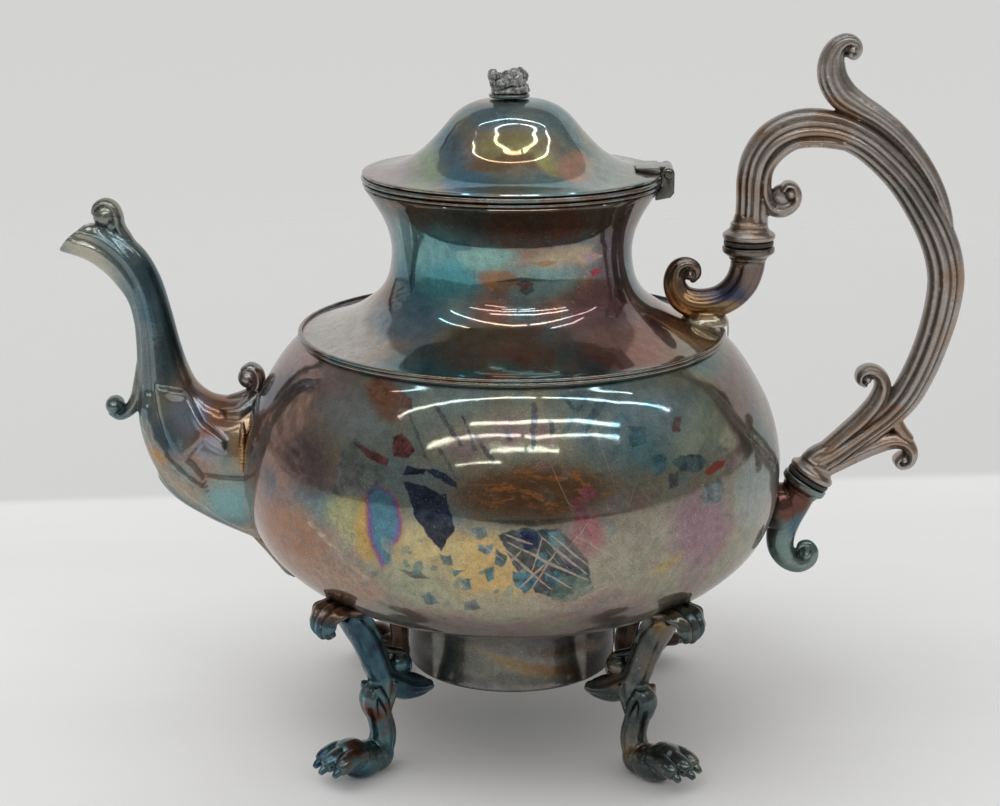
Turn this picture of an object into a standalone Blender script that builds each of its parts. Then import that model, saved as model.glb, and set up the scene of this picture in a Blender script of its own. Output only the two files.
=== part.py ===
"""Footed silver teapot with a hinged domed lid.

Frame: origin on the body's turning axis in the table plane, +Z up,
spout towards -X, handle towards +X.  Lengths are in millimetres;
MM turns them into metres when a mesh is made.
"""
import math
from collections import namedtuple

import bmesh
import bpy
from mathutils import Vector

for old in list(bpy.data.objects):
    bpy.data.objects.remove(old, do_unlink=True)

MM = 0.001

# ---------------------------------------------------------------- dimensions
GAP = 0.35                # clearance between neighbouring pieces
SEGS = 32                 # facets round a turned piece
BALL_SEGS = 12            # facets round a ball
WALL = 1.2                # spun sheet of the body

BELLY_R = 90.3            # widest radius of the bowl
BELLY_Z = 94.0            # height of the widest point
BOWL_FLOOR_R = 38.0       # flat part of the bowl's floor
BOWL_FLOOR_Z = 47.4       # underside of the bowl
SHOULDER_R = 69.5         # radius of the joint between bowl and neck
SHOULDER_Z = 139.0        # height of that joint
SHOULDER_BORE_R = 68.3    # inside radius at that joint
LEDGE_R = 71.1            # outer edge of the ledge under the shoulder wire
LEDGE_Z = SHOULDER_Z - 0.7
NECK_FOOT_Z = SHOULDER_Z + 0.4
NECK_R = 39.6             # narrowest radius of the neck
MOUTH_R = 48.4            # radius of the neck's mouth
MOUTH_Z = 188.6           # height of the neck's mouth

BASE_R = 35.3             # foot ring under the bowl
BASE_Z = 24.2             # its lower edge above the table

LID_R = 48.9              # edge of the lid's flange
LID_TOP_Z = 216.6         # crown of the dome
LID_HOLE_R = 2.6          # hole in the crown
FINIAL_X = -0.9           # the finial sits a little off the lid's axis
FINIAL_RING_TOP_Z = 218.3
FINIAL_TOP_Z = 225.6
STUD_R = 1.3
STUD_BORE_R = 1.7

HINGE_X = 50.6            # hinge axis, which runs along Y
HINGE_Z = 193.4
KNUCKLE_R = 2.0
KNUCKLE_BORE_R = 1.2
PIN_R = 0.9
PIN_HEAD_R = 1.6
HINGE_HALF = 8.0          # half the length of the hinge barrel
KNUCKLE_SPLIT = 4.8       # half the length of the lid's middle knuckle
HINGE_CUT_HALF = 12.0     # half the reach along Y of the hinge cutters

INSULATOR_T = 1.6
COLLAR_FACE = INSULATOR_T / 2 + GAP   # from an insulator's middle to the next piece
COLLAR_R = 8.4
TIE_PIN_R = 1.4
TIE_BORE_R = 1.8
TIE_END_GAP = 0.6         # bore left beyond each end of a tie pin

# Handle joint: insulator centre (x, z), direction (x, z) up into the handle,
# insulator radius and half the length of the tie pin.
Joint = namedtuple("Joint", "centre axis insulator_r pin_half")
UPPER = Joint(centre=(77.8, 169.8), axis=(0.0, 1.0), insulator_r=COLLAR_R - 0.2, pin_half=8.0)
LOWER = Joint(centre=(100.6, 89.1), axis=(0.517, 0.856), insulator_r=COLLAR_R - 0.8,
              pin_half=6.0)

STRAND_DEPTH = 11.6       # greatest size along Y of a slender scroll member
FLARE_T = 12.9            # members this thick or thicker keep a round section

# degrees from +X; in these names front is the -Y side and left the -X side
FOOT_AZIMUTHS = {"foot_front_left": -135.0, "foot_front_right": -45.0,
                 "foot_rear_left": 135.0, "foot_rear_right": 45.0}


# ------------------------------------------------------------------ materials
def material(name, rgb, metallic, roughness):
    mat = bpy.data.materials.new(name)
    mat.use_nodes = True
    shader = mat.node_tree.nodes["Principled BSDF"]
    shader.inputs["Base Color"].default_value = (*rgb, 1.0)
    shader.inputs["Metallic"].default_value = metallic
    shader.inputs["Roughness"].default_value = roughness
    mat.diffuse_color = (*rgb, 1.0)
    return mat


SILVER = material("tarnished_silver", rgb=(0.42, 0.40, 0.39), metallic=1.0, roughness=0.14)
CAST = material("cast_silver", rgb=(0.38, 0.34, 0.31), metallic=1.0, roughness=0.32)
STUB = material("bare_stub", rgb=(0.35, 0.34, 0.33), metallic=0.8, roughness=0.55)
STEEL = material("steel_pin", rgb=(0.45, 0.45, 0.44), metallic=1.0, roughness=0.35)
WASHER = material("insulator", rgb=(0.03, 0.028, 0.025), metallic=0.0, roughness=0.5)


# -------------------------------------------------------------------- objects
def link(name, mesh):
    ob = bpy.data.objects.new(name, mesh)
    bpy.context.scene.collection.objects.link(ob)
    return ob


def piece(name, mesh, mat):
    """Visible piece of the teapot."""
    mesh.name = name
    mesh.materials.append(mat)
    return link(name, mesh)


def helper(name, mesh):
    """Unrendered body that the Boolean modifiers join or cut with."""
    mesh.name = name
    ob = link(name, mesh)
    ob.hide_render = True
    ob.display_type = 'WIRE'
    return ob


def boolean(ob, operation, others):
    for other in others:
        mod = ob.modifiers.new(operation.lower() + "_" + other.name, 'BOOLEAN')
        mod.operation = operation
        mod.object = other
        mod.solver = 'EXACT'


def unite(ob, *others):
    boolean(ob, 'UNION', others)


def cut(ob, *others):
    boolean(ob, 'DIFFERENCE', others)


# --------------------------------------------------------------------- meshes
def closed_mesh(verts, faces):
    """Closed mesh from points in millimetres, faces turned outwards."""
    mesh = bpy.data.meshes.new("mesh")
    mesh.from_pydata([(x * MM, y * MM, z * MM) for x, y, z in verts], [], faces)
    bm = bmesh.new()
    bm.from_mesh(mesh)
    bmesh.ops.remove_doubles(bm, verts=bm.verts, dist=1e-6)
    bmesh.ops.recalc_face_normals(bm, faces=bm.faces)
    if bm.calc_volume(signed=True) < 0:
        bmesh.ops.reverse_faces(bm, faces=bm.faces)
    bm.to_mesh(mesh)
    bm.free()
    mesh.shade_smooth()
    mesh.set_sharp_from_angle(angle=math.radians(35))
    return mesh


def turn(count, phase=0.0):
    """Equal angles round a full turn; phase is a fraction of one step."""
    return [2 * math.pi * (k + phase) / count for k in range(count)]


def lathe(profile, segs=SEGS, x0=0.0, y0=0.0):
    """Turn a closed outline of (radius, height) about a vertical axis."""
    verts, rows = [], []
    for r, z in profile:
        if r < 1e-6:
            rows.append([len(verts)] * segs)
            verts.append((x0, y0, z))
        else:
            rows.append(list(range(len(verts), len(verts) + segs)))
            verts += [(x0 + r * math.cos(a), y0 + r * math.sin(a), z) for a in turn(segs)]
    faces = []
    for low, high in zip(rows, rows[1:] + rows[:1]):
        for k in range(segs):
            k2 = (k + 1) % segs
            # a corner on the axis occurs twice, which leaves a triangle or nothing
            face = list(dict.fromkeys((low[k], low[k2], high[k2], high[k])))
            if len(face) > 2:
                faces.append(face)
    return closed_mesh(verts, faces)


def skin_all(tubes):
    """Separate tubes in one mesh, each a list of rings of equal count with flat ends."""
    verts, faces = [], []
    for rings in tubes:
        base, n = len(verts), len(rings[0])
        verts += [point for ring in rings for point in ring]
        last = len(verts) - n
        for start in range(base, last, n):
            for k in range(n):
                k2 = (k + 1) % n
                faces.append((start + k, start + k2, start + n + k2, start + n + k))
        faces.append(tuple(range(base, base + n)))
        faces.append(tuple(range(last, last + n)))
    return closed_mesh(verts, faces)


def skin(rings):
    return skin_all([rings])


def rib_ring(lower, upper, width, count):
    """Oval ring from edge to edge, both (x, z), and width across along Y."""
    mid_x, mid_z = (lower[0] + upper[0]) / 2, (lower[1] + upper[1]) / 2
    half_x, half_z = (upper[0] - lower[0]) / 2, (upper[1] - lower[1]) / 2
    return [(mid_x + half_x * math.cos(a), width / 2 * math.sin(a), mid_z + half_z * math.cos(a))
            for a in turn(count)]


def ribbed(ribs, count):
    """Skin over ribs of (edge, opposite edge, width)."""
    return skin([rib_ring(lower, upper, width, count) for lower, upper, width in ribs])


def strand(path, count=12, max_depth=STRAND_DEPTH):
    """Scroll member along a path of (x, z, thickness) in the plane of the handle."""
    ribs = []
    for i, (x, z, thickness) in enumerate(path):
        before_x, before_z = path[max(i - 1, 0)][:2]
        after_x, after_z = path[min(i + 1, len(path) - 1)][:2]
        along = Vector((after_x - before_x, after_z - before_z)).normalized()
        side_x, side_z = -along.y * thickness / 2, along.x * thickness / 2
        depth = min(thickness, max_depth) if thickness < FLARE_T else thickness
        ribs.append(((x - side_x, z - side_z), (x + side_x, z + side_z), depth))
    return ribbed(ribs, count)


def ball(centre, radius, y_scale):
    """Ball stretched or flattened along Y."""
    x, y, z = centre
    steps = BALL_SEGS // 2
    profile = [(0.0, z - radius)]
    for i in range(1, steps):
        a = -math.pi / 2 + math.pi * i / steps
        profile.append((radius * math.cos(a), z + radius * math.sin(a)))
    profile.append((0.0, z + radius))
    mesh = lathe(profile, BALL_SEGS, x, y)
    for vert in mesh.vertices:
        vert.co.y = y * MM + (vert.co.y - y * MM) * y_scale
    return mesh


def rod(start, end, radius, segs):
    """Straight bar between two points."""
    start, end = Vector(start), Vector(end)
    along = (end - start).normalized()
    side = along.cross(Vector((0, 1, 0)))
    if side.length < 1e-3:
        side = along.cross(Vector((1, 0, 0)))
    side.normalize()
    across = along.cross(side)
    return skin([[tuple(c + side * (radius * math.cos(a)) + across * (radius * math.sin(a)))
                  for a in turn(segs)] for c in (start, end)])


def prism(outline, y_start, y_end):
    """Straight extrusion along Y of an outline of (x, z) corners."""
    return skin([[(x, y, z) for x, z in outline] for y in (y_start, y_end)])


def block(x_span, y_span, z_span):
    """Rectangular block between pairs of limits."""
    (x0, x1), (z0, z1) = x_span, z_span
    return prism([(x0, z0), (x1, z0), (x1, z1), (x0, z1)], *y_span)


def offset_profile(points, distance):
    """Move an open outline of (radius, height) sideways, to its right-hand side."""
    moved = []
    for i, (r, z) in enumerate(points):
        before = points[max(i - 1, 0)]
        after = points[min(i + 1, len(points) - 1)]
        along = Vector((after[0] - before[0], after[1] - before[1])).normalized()
        moved.append((max(r + along.y * distance, 0.0), z - along.x * distance))
    return moved


# ------------------------------------------------------------------- the bowl
# (radius, height) of the outside, from the ledge down to the floor
bowl_outside = [
    (LEDGE_R, LEDGE_Z), (76.1, 131.4), (81.5, 124.6), (86.6, 115.0), (89.5, 104.0),
    (BELLY_R, BELLY_Z), (89.1, 82.5), (84.8, 72.0), (77.2, 63.6), (68.2, 57.2),
    (58.0, 52.6), (48.0, 49.2), (BOWL_FLOOR_R, BOWL_FLOOR_Z)]
# (radius, height) of the inside, from the joint with the neck down to the floor
bowl_inside = [
    (SHOULDER_BORE_R, SHOULDER_Z), (SHOULDER_BORE_R, 138.2), (70.2, 137.2), (75.1, 130.8),
    (80.4, 124.0), (85.5, 114.6), (88.3, 103.8), (BELLY_R - WALL, BELLY_Z), (87.9, 82.8),
    (83.8, 72.8), (76.4, 64.6), (67.6, 58.4), (57.6, 53.8), (47.8, 50.4),
    (BOWL_FLOOR_R, BOWL_FLOOR_Z + WALL)]
bowl = piece("bowl", lathe(
    [(SHOULDER_R, SHOULDER_Z), (SHOULDER_R, LEDGE_Z)] + bowl_outside
    + [(0.0, BOWL_FLOOR_Z), (0.0, BOWL_FLOOR_Z + WALL)] + bowl_inside[::-1]), SILVER)

# strainer behind the spout: twelve eight-sided holes in staggered rows
STRAINER_R = 1.6
STRAINER_X = (-96.0, -80.0)           # ends of the cutters, either side of the wall
PAIR_Y, TRIPLE_Y = (-3.5, 3.5), (-7.0, 0.0, 7.0)
STRAINER_ROWS = [                     # height of a row and its holes' places along Y
    (80.0, PAIR_Y), (86.0, TRIPLE_Y), (92.0, PAIR_Y), (98.0, TRIPLE_Y), (104.0, PAIR_Y)]


def strainer_hole(hole_y, hole_z):
    return [[(x, hole_y + STRAINER_R * math.cos(a), hole_z + STRAINER_R * math.sin(a))
             for a in turn(8, 0.5)] for x in STRAINER_X]


strainer_cutter = helper("strainer_cutter", skin_all(
    [strainer_hole(y, z) for z, places in STRAINER_ROWS for y in places]))
cut(bowl, strainer_cutter)

# clearance body round the bowl, which trims the pieces that stand against it
BOWL_CLEAR_TOP_Z = 143.0
bowl_clear = helper("bowl_clear", lathe(
    [(0.0, BOWL_FLOOR_Z - GAP)] + offset_profile(bowl_outside[::-1], GAP)
    + [(LEDGE_R + GAP, BOWL_CLEAR_TOP_Z), (0.0, BOWL_CLEAR_TOP_Z)]))

# ------------------------------------------------------------------- the neck
# (radius, height) from the shoulder up to the mouth
neck_outside = [
    (SHOULDER_R, SHOULDER_Z + 1.5), (66.5, 141.0), (62.0, 142.3), (57.5, 144.0),
    (53.0, 146.3), (48.6, 149.2), (45.3, 151.7), (43.0, 154.4), (41.0, 158.2),
    (39.9, 163.0), (NECK_R, 168.5), (40.6, 174.0), (42.6, 179.0), (45.4, 183.8),
    (48.0, 187.6), (MOUTH_R, MOUTH_Z)]
neck_inside = [
    (SHOULDER_BORE_R, NECK_FOOT_Z), (66.2, 139.8), (61.6, 141.1), (57.0, 142.8),
    (52.4, 145.1), (47.9, 148.1), (44.4, 150.7), (42.0, 153.6), (39.8, 157.6),
    (38.7, 162.9), (38.4, 168.5), (39.4, 174.3), (41.5, 179.5), (44.3, 184.3),
    (46.9, 188.0), (47.1, MOUTH_Z)]
piece("neck", lathe([(SHOULDER_R, NECK_FOOT_Z)] + neck_outside + neck_inside[::-1]), SILVER)

# clearance body round the neck and its rim
neck_clear = helper("neck_clear", lathe(
    [(0.0, 130.0), (72.0, 130.0), (72.0, 142.3), (68.0, 142.3)]
    + offset_profile(neck_outside[1:], GAP + 0.1)
    + [(49.4, 189.0), (49.4, 190.6), (0.0, 190.6)]))

# -------------------------------------------------- turned rings on the body
# closed outlines of (radius, height)
piece("shoulder_wire", lathe([
    (69.9, 138.7), (71.0, 138.7), (71.5, 139.4), (71.1, 140.2), (71.4, 141.0),
    (70.9, 141.8), (69.9, 141.9)]), SILVER)

piece("neck_rim", lathe([
    (46.9, 189.0), (48.6, 189.0), (49.0, 189.6), (48.6, 190.1), (46.9, 190.1),
    (46.5, 189.6)]), SILVER)

piece("base_pan", lathe([
    (40.3, 46.9), (38.3, 44.4), (36.9, 41.4), (36.1, 37.0), (35.8, 31.0), (BASE_R, 26.6),
    (34.5, 24.7), (33.5, BASE_Z), (31.0, 25.4), (0.0, 25.4), (0.0, 26.6), (31.0, 26.6),
    (33.8, 27.6), (34.6, 31.0), (34.9, 37.0), (35.7, 41.8), (37.0, 44.8), (38.6, 46.9)],
    segs=40), SILVER)

# ------------------------------------------------------------------ the spout
SPOUT_WALL = 1.6
SPOUT_THICKENING = 0.16   # wall gained per rib number, on the ribs below THIN_RIBS
THIN_RIBS = 5             # last rib number, from the tip, with the plain wall
SPOUT_SEGS = 16
# lower edge (x, z), upper edge (x, z), width across; from the tip to the bowl
spout_ribs = [
    ((-149.2, 165.2), (-138.6, 174.4), 13.0), ((-141.2, 162.6), (-133.6, 174.9), 14.0),
    ((-135.8, 158.8), (-127.5, 172.2), 14.2), ((-131.8, 154.4), (-121.6, 165.8), 14.0),
    ((-128.3, 149.0), (-117.2, 157.6), 13.6), ((-126.6, 142.5), (-114.2, 147.2), 13.6),
    ((-126.1, 134.7), (-111.4, 134.8), 14.6), ((-126.6, 126.5), (-109.2, 127.4), 16.6),
    ((-127.2, 117.0), (-106.3, 121.3), 19.5), ((-126.6, 106.0), (-101.5, 117.2), 23.0),
    ((-123.0, 94.0), (-96.0, 116.2), 27.0), ((-115.5, 82.0), (-90.5, 117.2), 31.0),
    ((-104.0, 74.2), (-86.5, 118.4), 34.0), ((-90.0, 67.8), (-82.0, 118.4), 35.0),
    ((-77.0, 62.8), (-74.0, 117.0), 34.0)]


def inset_rib(rib, inset, shift_x=0.0, shift_z=0.0):
    """Rib drawn in by inset all round, then shifted."""
    (lower_x, lower_z), (upper_x, upper_z), width = rib
    length = math.hypot(upper_x - lower_x, upper_z - lower_z)
    step_x = (upper_x - lower_x) / length * inset
    step_z = (upper_z - lower_z) / length * inset
    return ((lower_x + step_x + shift_x, lower_z + step_z + shift_z),
            (upper_x - step_x + shift_x, upper_z - step_z + shift_z), width - 2 * inset)


def spout_wall(i):
    return SPOUT_WALL + (SPOUT_THICKENING * i if i > THIN_RIBS else 0.0)


spout = piece("spout", ribbed(spout_ribs, SPOUT_SEGS), CAST)
# the bore runs out past the tip and past the root
bore_ribs = [inset_rib(spout_ribs[0], SPOUT_WALL, shift_x=-4.0, shift_z=0.6)]
bore_ribs += [inset_rib(rib, spout_wall(i)) for i, rib in enumerate(spout_ribs) if i > 0]
bore_ribs.append(inset_rib(spout_ribs[-1], 4.0, shift_x=5.0))
spout_bore = helper("spout_bore", ribbed(bore_ribs, SPOUT_SEGS))
unite(
    spout,
    helper("tip_scroll", ball((-133.3, 0.1, 177.2), radius=4.4, y_scale=1.25)),
    helper("under_leaf", strand([
        (-121.5, 113.0, 9.0), (-127.0, 111.5, 7.0), (-131.5, 110.3, 4.6),
        (-134.2, 110.9, 3.0)], count=8)),
    helper("under_scroll", ball((-134.4, 0.08, 112.4), radius=3.4, y_scale=1.3)),
    helper("root_scroll", ball((-89.3, 0.12, 121.2), radius=4.6, y_scale=1.5)))
cut(spout, spout_bore, bowl_clear)


# ---------------------------------------------- handle insulators and tie pins
def on_axis(joint, distance):
    """Point (x, z) on a joint's axis, distance from the insulator's middle."""
    return (joint.centre[0] + joint.axis[0] * distance,
            joint.centre[1] + joint.axis[1] * distance)


def joint_rod(joint, half_length, radius, segs):
    """Round bar centred on a joint and lying along its axis."""
    (x0, z0), (x1, z1) = on_axis(joint, -half_length), on_axis(joint, half_length)
    return rod((x0, 0, z0), (x1, 0, z1), radius, segs)


def tie(place, joint):
    """Insulator and tie pin of one joint; returns the helper that bores for the pin."""
    bore = helper(place + "_tie_bore", joint_rod(
        joint, joint.pin_half + TIE_END_GAP, TIE_BORE_R, segs=10))
    insulator = piece(place + "_insulator", joint_rod(
        joint, INSULATOR_T / 2, joint.insulator_r, segs=20), WASHER)
    cut(insulator, bore)
    piece(place + "_handle_pin", joint_rod(joint, joint.pin_half, TIE_PIN_R, segs=10), STEEL)
    return bore


upper_tie_bore = tie("upper", UPPER)
lower_tie_bore = tie("lower", LOWER)

# ----------------------------------------------------------------- the handle
# stations of (x, z, thickness), from the upper joint over the top to the lower
handle = piece("handle", strand([
    (*on_axis(UPPER, COLLAR_FACE), 17.0), (*on_axis(UPPER, 3.2), 17.2),
    (78.1, 175.3, 13.6), (78.4, 177.4, 11.2), (78.7, 184.0, 11.0), (78.8, 191.0, 11.1),
    (80.4, 197.6, 11.4), (84.4, 203.2, 11.9), (90.6, 206.7, 12.2), (98.0, 207.7, 12.2),
    (105.6, 206.8, 11.6), (113.6, 203.3, 11.0), (121.2, 197.6, 11.0), (128.0, 190.2, 11.3),
    (133.6, 182.0, 11.7), (138.2, 174.0, 12.0), (141.6, 166.0, 12.2), (142.9, 158.0, 12.1),
    (142.4, 149.0, 11.8), (139.9, 138.0, 11.2), (135.9, 126.8, 11.0), (131.3, 118.0, 11.4),
    (125.5, 111.4, 12.2), (119.0, 106.0, 12.4), (113.0, 101.3, 12.0), (108.2, 97.6, 11.6),
    (*on_axis(LOWER, 6.0), 12.0), (*on_axis(LOWER, 4.6), 13.0),
    (*on_axis(LOWER, 3.0), 15.8), (*on_axis(LOWER, COLLAR_FACE), 15.8)]), CAST)

# side scrolls, each an arm that ends in a ball
unite(
    handle,
    helper("thumb_scroll", strand([
        (138.8, 180.0, 5.0), (134.4, 189.6, 6.2), (128.2, 198.6, 7.2), (120.5, 206.0, 8.2),
        (113.0, 211.3, 9.2), (107.2, 216.0, 10.4), (103.8, 221.6, 11.0),
        (102.3, 226.8, 10.0), (102.6, 231.2, 8.4), (104.8, 234.2, 6.4)],
        count=10, max_depth=9.0)),
    helper("thumb_eye", ball((107.5, 0, 233.6), radius=4.4, y_scale=1.1)),
    helper("volute_arm", strand([
        (79.5, 180.4, 7.0), (84.0, 180.8, 6.6), (89.0, 182.0, 6.0)],
        count=8, max_depth=8.0)),
    helper("volute_eye", ball((89.5, 0, 184.2), radius=5.8, y_scale=0.8)),
    helper("inner_arm", strand([
        (113.5, 103.6, 6.0), (118.8, 110.0, 7.0), (122.7, 115.8, 6.4), (123.2, 121.6, 5.4)],
        count=8, max_depth=8.0)),
    helper("inner_eye", ball((119.4, 0, 124.6), radius=4.9, y_scale=0.9)),
    helper("outer_arm", strand([
        (109.6, 95.4, 6.0), (115.6, 98.2, 7.0), (122.2, 101.2, 7.0), (128.2, 102.6, 6.2),
        (132.0, 101.4, 5.6)], count=8, max_depth=8.0)),
    helper("outer_eye", ball((132.8, 0, 97.8), radius=5.0, y_scale=0.9)))
cut(handle, upper_tie_bore, lower_tie_bore)

# --------------------------------------------------------- the handle sockets
# stations of (x, z, thickness), from the insulator to the scrolled end
upper_socket = piece("upper_socket", strand([
    (*on_axis(UPPER, -COLLAR_FACE), 17.0), (*on_axis(UPPER, -2.8), 16.6),
    (77.7, 165.2, 12.8), (77.4, 162.5, 11.4), (76.6, 158.8, 11.0), (74.5, 154.7, 10.6),
    (71.0, 151.4, 10.2), (66.5, 149.5, 10.0), (61.6, 149.1, 10.0), (57.2, 150.8, 9.2),
    (54.6, 154.4, 8.0), (54.3, 158.8, 7.0), (56.2, 161.6, 6.0)]), CAST)
unite(
    upper_socket,
    helper("upper_eye", ball((57.4, 0, 159.2), radius=4.9, y_scale=0.95)),
    helper("upper_pad", lathe([
        (0.0, 138.0), (7.6, 138.0), (7.6, 143.6), (5.0, 147.0), (0.0, 148.0)],
        segs=16, x0=64.0)))
cut(upper_socket, upper_tie_bore, neck_clear)

lower_socket = piece("lower_socket", strand([
    (*on_axis(LOWER, -COLLAR_FACE), 15.8), (*on_axis(LOWER, -2.8), 15.4),
    (*on_axis(LOWER, -4.6), 12.8), (*on_axis(LOWER, -7.0), 12.0),
    (94.7, 78.6, 11.0), (93.2, 74.0, 9.6), (92.0, 69.0, 8.8), (92.6, 63.8, 8.4),
    (95.6, 60.0, 7.4), (99.0, 58.6, 6.0)]), CAST)
unite(
    lower_socket,
    helper("lower_eye", ball((100.0, 0, 61.0), radius=5.4, y_scale=0.9)),
    helper("lower_pad", ball((91.7, 0.15, 78.2), radius=6.5, y_scale=1.1)))
cut(lower_socket, lower_tie_bore, bowl_clear)

# ------------------------------------------------------------------- the feet
# Ribs in the foot's own upright plane, with x measured out from the body's axis.
# leg, top to toe: inner edge (x, z), outer edge (x, z), width across
leg_ribs = [
    ((66.0, 61.0), (74.8, 63.5), 15.0), ((63.0, 56.5), (80.5, 60.0), 20.0),
    ((60.0, 52.0), (83.2, 55.5), 20.0), ((58.6, 49.0), (76.0, 49.5), 15.0),
    ((57.6, 44.4), (67.6, 45.0), 9.6), ((55.6, 37.0), (64.8, 38.0), 9.0),
    ((54.0, 29.0), (66.0, 31.0), 10.4), ((54.4, 21.4), (64.0, 23.0), 8.6),
    ((55.6, 13.0), (63.0, 15.0), 8.0), ((56.6, 5.0), (68.0, 10.4), 10.0),
    ((60.0, -1.2), (76.0, 8.2), 13.0), ((72.0, -1.4), (83.0, 6.2), 13.0),
    ((80.0, -1.0), (85.0, 3.4), 9.0)]
# lobe from the leg in towards the base pan: lower edge, upper edge, width across
LOBE_TIP_R = 36.9
lobe_ribs = [
    ((59.0, 28.0), (59.0, 39.0), 9.0), ((51.0, 28.4), (51.0, 40.6), 8.6),
    ((43.5, 29.6), (43.5, 39.8), 7.6), ((39.0, 31.0), (39.0, 37.6), 6.0),
    ((LOBE_TIP_R, 33.0), (LOBE_TIP_R, 35.4), 3.0)]


def foot_mesh():
    """Leg with its lobe, cut flat at the table and clear of the bowl."""
    leg = helper("leg", ribbed(leg_ribs, 10))
    lobe = helper("lobe", ribbed(lobe_ribs, 8))
    table = helper("table_cut", block((40, 100), (-20, 20), (-6, 0)))
    unite(leg, lobe)
    cut(leg, table, bowl_clear)
    depsgraph = bpy.context.evaluated_depsgraph_get()
    mesh = bpy.data.meshes.new_from_object(leg.evaluated_get(depsgraph))
    for ob in (leg, lobe, table):
        bpy.data.objects.remove(ob, do_unlink=True)
    mesh.name = "foot"
    mesh.materials.clear()    # the Booleans may leave an empty slot
    mesh.materials.append(CAST)
    return mesh


foot = foot_mesh()
for foot_name, azimuth in FOOT_AZIMUTHS.items():
    link(foot_name, foot).rotation_euler = (0.0, 0.0, math.radians(azimuth))

# -------------------------------------------------------------------- the lid
# (radius, height) from the flange in to the hole at the crown
lid_outside = [
    (LID_R - 0.3, 192.5), (LID_R, 193.0), (47.6, 193.4), (44.6, 193.6), (41.6, 194.1),
    (38.2, 195.1), (33.6, 197.3), (29.2, 200.4), (25.4, 204.0), (22.0, 208.2),
    (18.8, 211.6), (15.2, 214.2), (11.0, 215.8), (6.0, 216.4), (LID_HOLE_R, LID_TOP_Z)]
lid_inside = [
    (48.0, 192.45), (44.5, 192.5), (41.3, 193.0), (37.8, 194.1), (33.0, 196.4),
    (28.5, 199.7), (24.6, 203.4), (21.1, 207.6), (18.1, 210.8), (14.6, 213.3),
    (10.8, 214.8), (6.0, 215.4), (LID_HOLE_R, 215.6)]
lid_dome = piece("lid_dome", lathe(lid_outside + lid_inside[::-1]), SILVER)
hinge_notch = helper("hinge_notch", block((48.0, 60), (-9.0, 9.0), (180, 199)))
cut(lid_dome, hinge_notch)

# bead under the flange, open where the hinge stands
WIRE_R, WIRE_Z = 48.5, 191.3          # centre line of the bead
WIRE_SECTION_R = 0.8
WIRE_OPEN = math.radians(11.0)        # half the angle left open
WIRE_STEPS = 44


def wire_ring(angle):
    ring = []
    for a in turn(6, 0.5):
        r = WIRE_R + WIRE_SECTION_R * math.cos(a)
        ring.append((r * math.cos(angle), r * math.sin(angle),
                     WIRE_Z + WIRE_SECTION_R * math.sin(a)))
    return ring


lid_rim_wire = piece("lid_rim_wire", skin(
    [wire_ring(WIRE_OPEN + (2 * math.pi - 2 * WIRE_OPEN) * i / WIRE_STEPS)
     for i in range(WIRE_STEPS + 1)]), SILVER)

# collar that hangs inside the neck's mouth
lid_bezel = piece("lid_bezel", lathe([
    (42.6, 184.2), (43.6, 184.2), (43.6, 191.2), (46.0, 191.5), (46.0, 192.1),
    (42.6, 192.1)], segs=40), SILVER)

# ----------------------------------------------------------------- the finial
RING_FOOT_Z = LID_TOP_Z + GAP
finial_base_ring = piece("finial_base_ring", lathe([
    (STUD_BORE_R, RING_FOOT_Z), (6.3, RING_FOOT_Z), (6.7, 217.6), (6.2, FINIAL_RING_TOP_Z),
    (STUD_BORE_R, FINIAL_RING_TOP_Z)], segs=20, x0=FINIAL_X), SILVER)

STUB_FOOT_Z = FINIAL_RING_TOP_Z + GAP
STUB_LEVELS = [(0.0, 6.1), (0.35, 6.2), (0.7, 5.8), (1.0, 4.6)]   # share of height, radius


def stub_ring(share, radius):
    """Ring of the uneven drum whose broken top slopes and dips."""
    ring = []
    for a in turn(14):
        # a slope once round and three dips
        crest = FINIAL_TOP_Z - 1.1 + 0.9 * math.cos(a - 0.4) - 0.6 * math.cos(3 * a + 1.0)
        # three-fold and five-fold waves that twist with height
        r = radius * (1 + 0.05 * math.cos(3 * a + 5 * share)
                      + 0.04 * math.sin(5 * a - 3 * share))
        ring.append((FINIAL_X + r * math.cos(a), r * math.sin(a),
                     STUB_FOOT_Z + (crest - STUB_FOOT_Z) * share))
    return ring


def finial_rod(z_low, z_high, radius, segs=10):
    """Upright bar on the finial's axis."""
    return rod((FINIAL_X, 0, z_low), (FINIAL_X, 0, z_high), radius, segs)


finial = piece("finial", skin([stub_ring(*level) for level in STUB_LEVELS]), STUB)
stud_bore = helper("stud_bore", finial_rod(206.0, 221.6, STUD_BORE_R))
cut(finial, stud_bore)
finial_stud = piece("finial_stud", finial_rod(210.4, 221.2, STUD_R), STEEL)
finial_nut = piece("finial_nut", finial_rod(212.6, 215.0, 3.6, segs=6), STEEL)
cut(finial_nut, stud_bore)


# ------------------------------------------------------------------ the hinge
def knuckle_plate(start, sweep, corners):
    """Knuckle arc, in degrees, closed by the (x, z) corners of a plate."""
    angles = [math.radians(start + sweep * i / 10) for i in range(11)]
    arc = [(HINGE_X + KNUCKLE_R * math.cos(a), HINGE_Z + KNUCKLE_R * math.sin(a))
           for a in angles]
    return prism(arc + corners, -HINGE_HALF, HINGE_HALF)


hinge_bore = helper("hinge_bore", rod(
    (HINGE_X, -HINGE_CUT_HALF, HINGE_Z), (HINGE_X, HINGE_CUT_HALF, HINGE_Z),
    KNUCKLE_BORE_R, segs=16))

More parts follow.
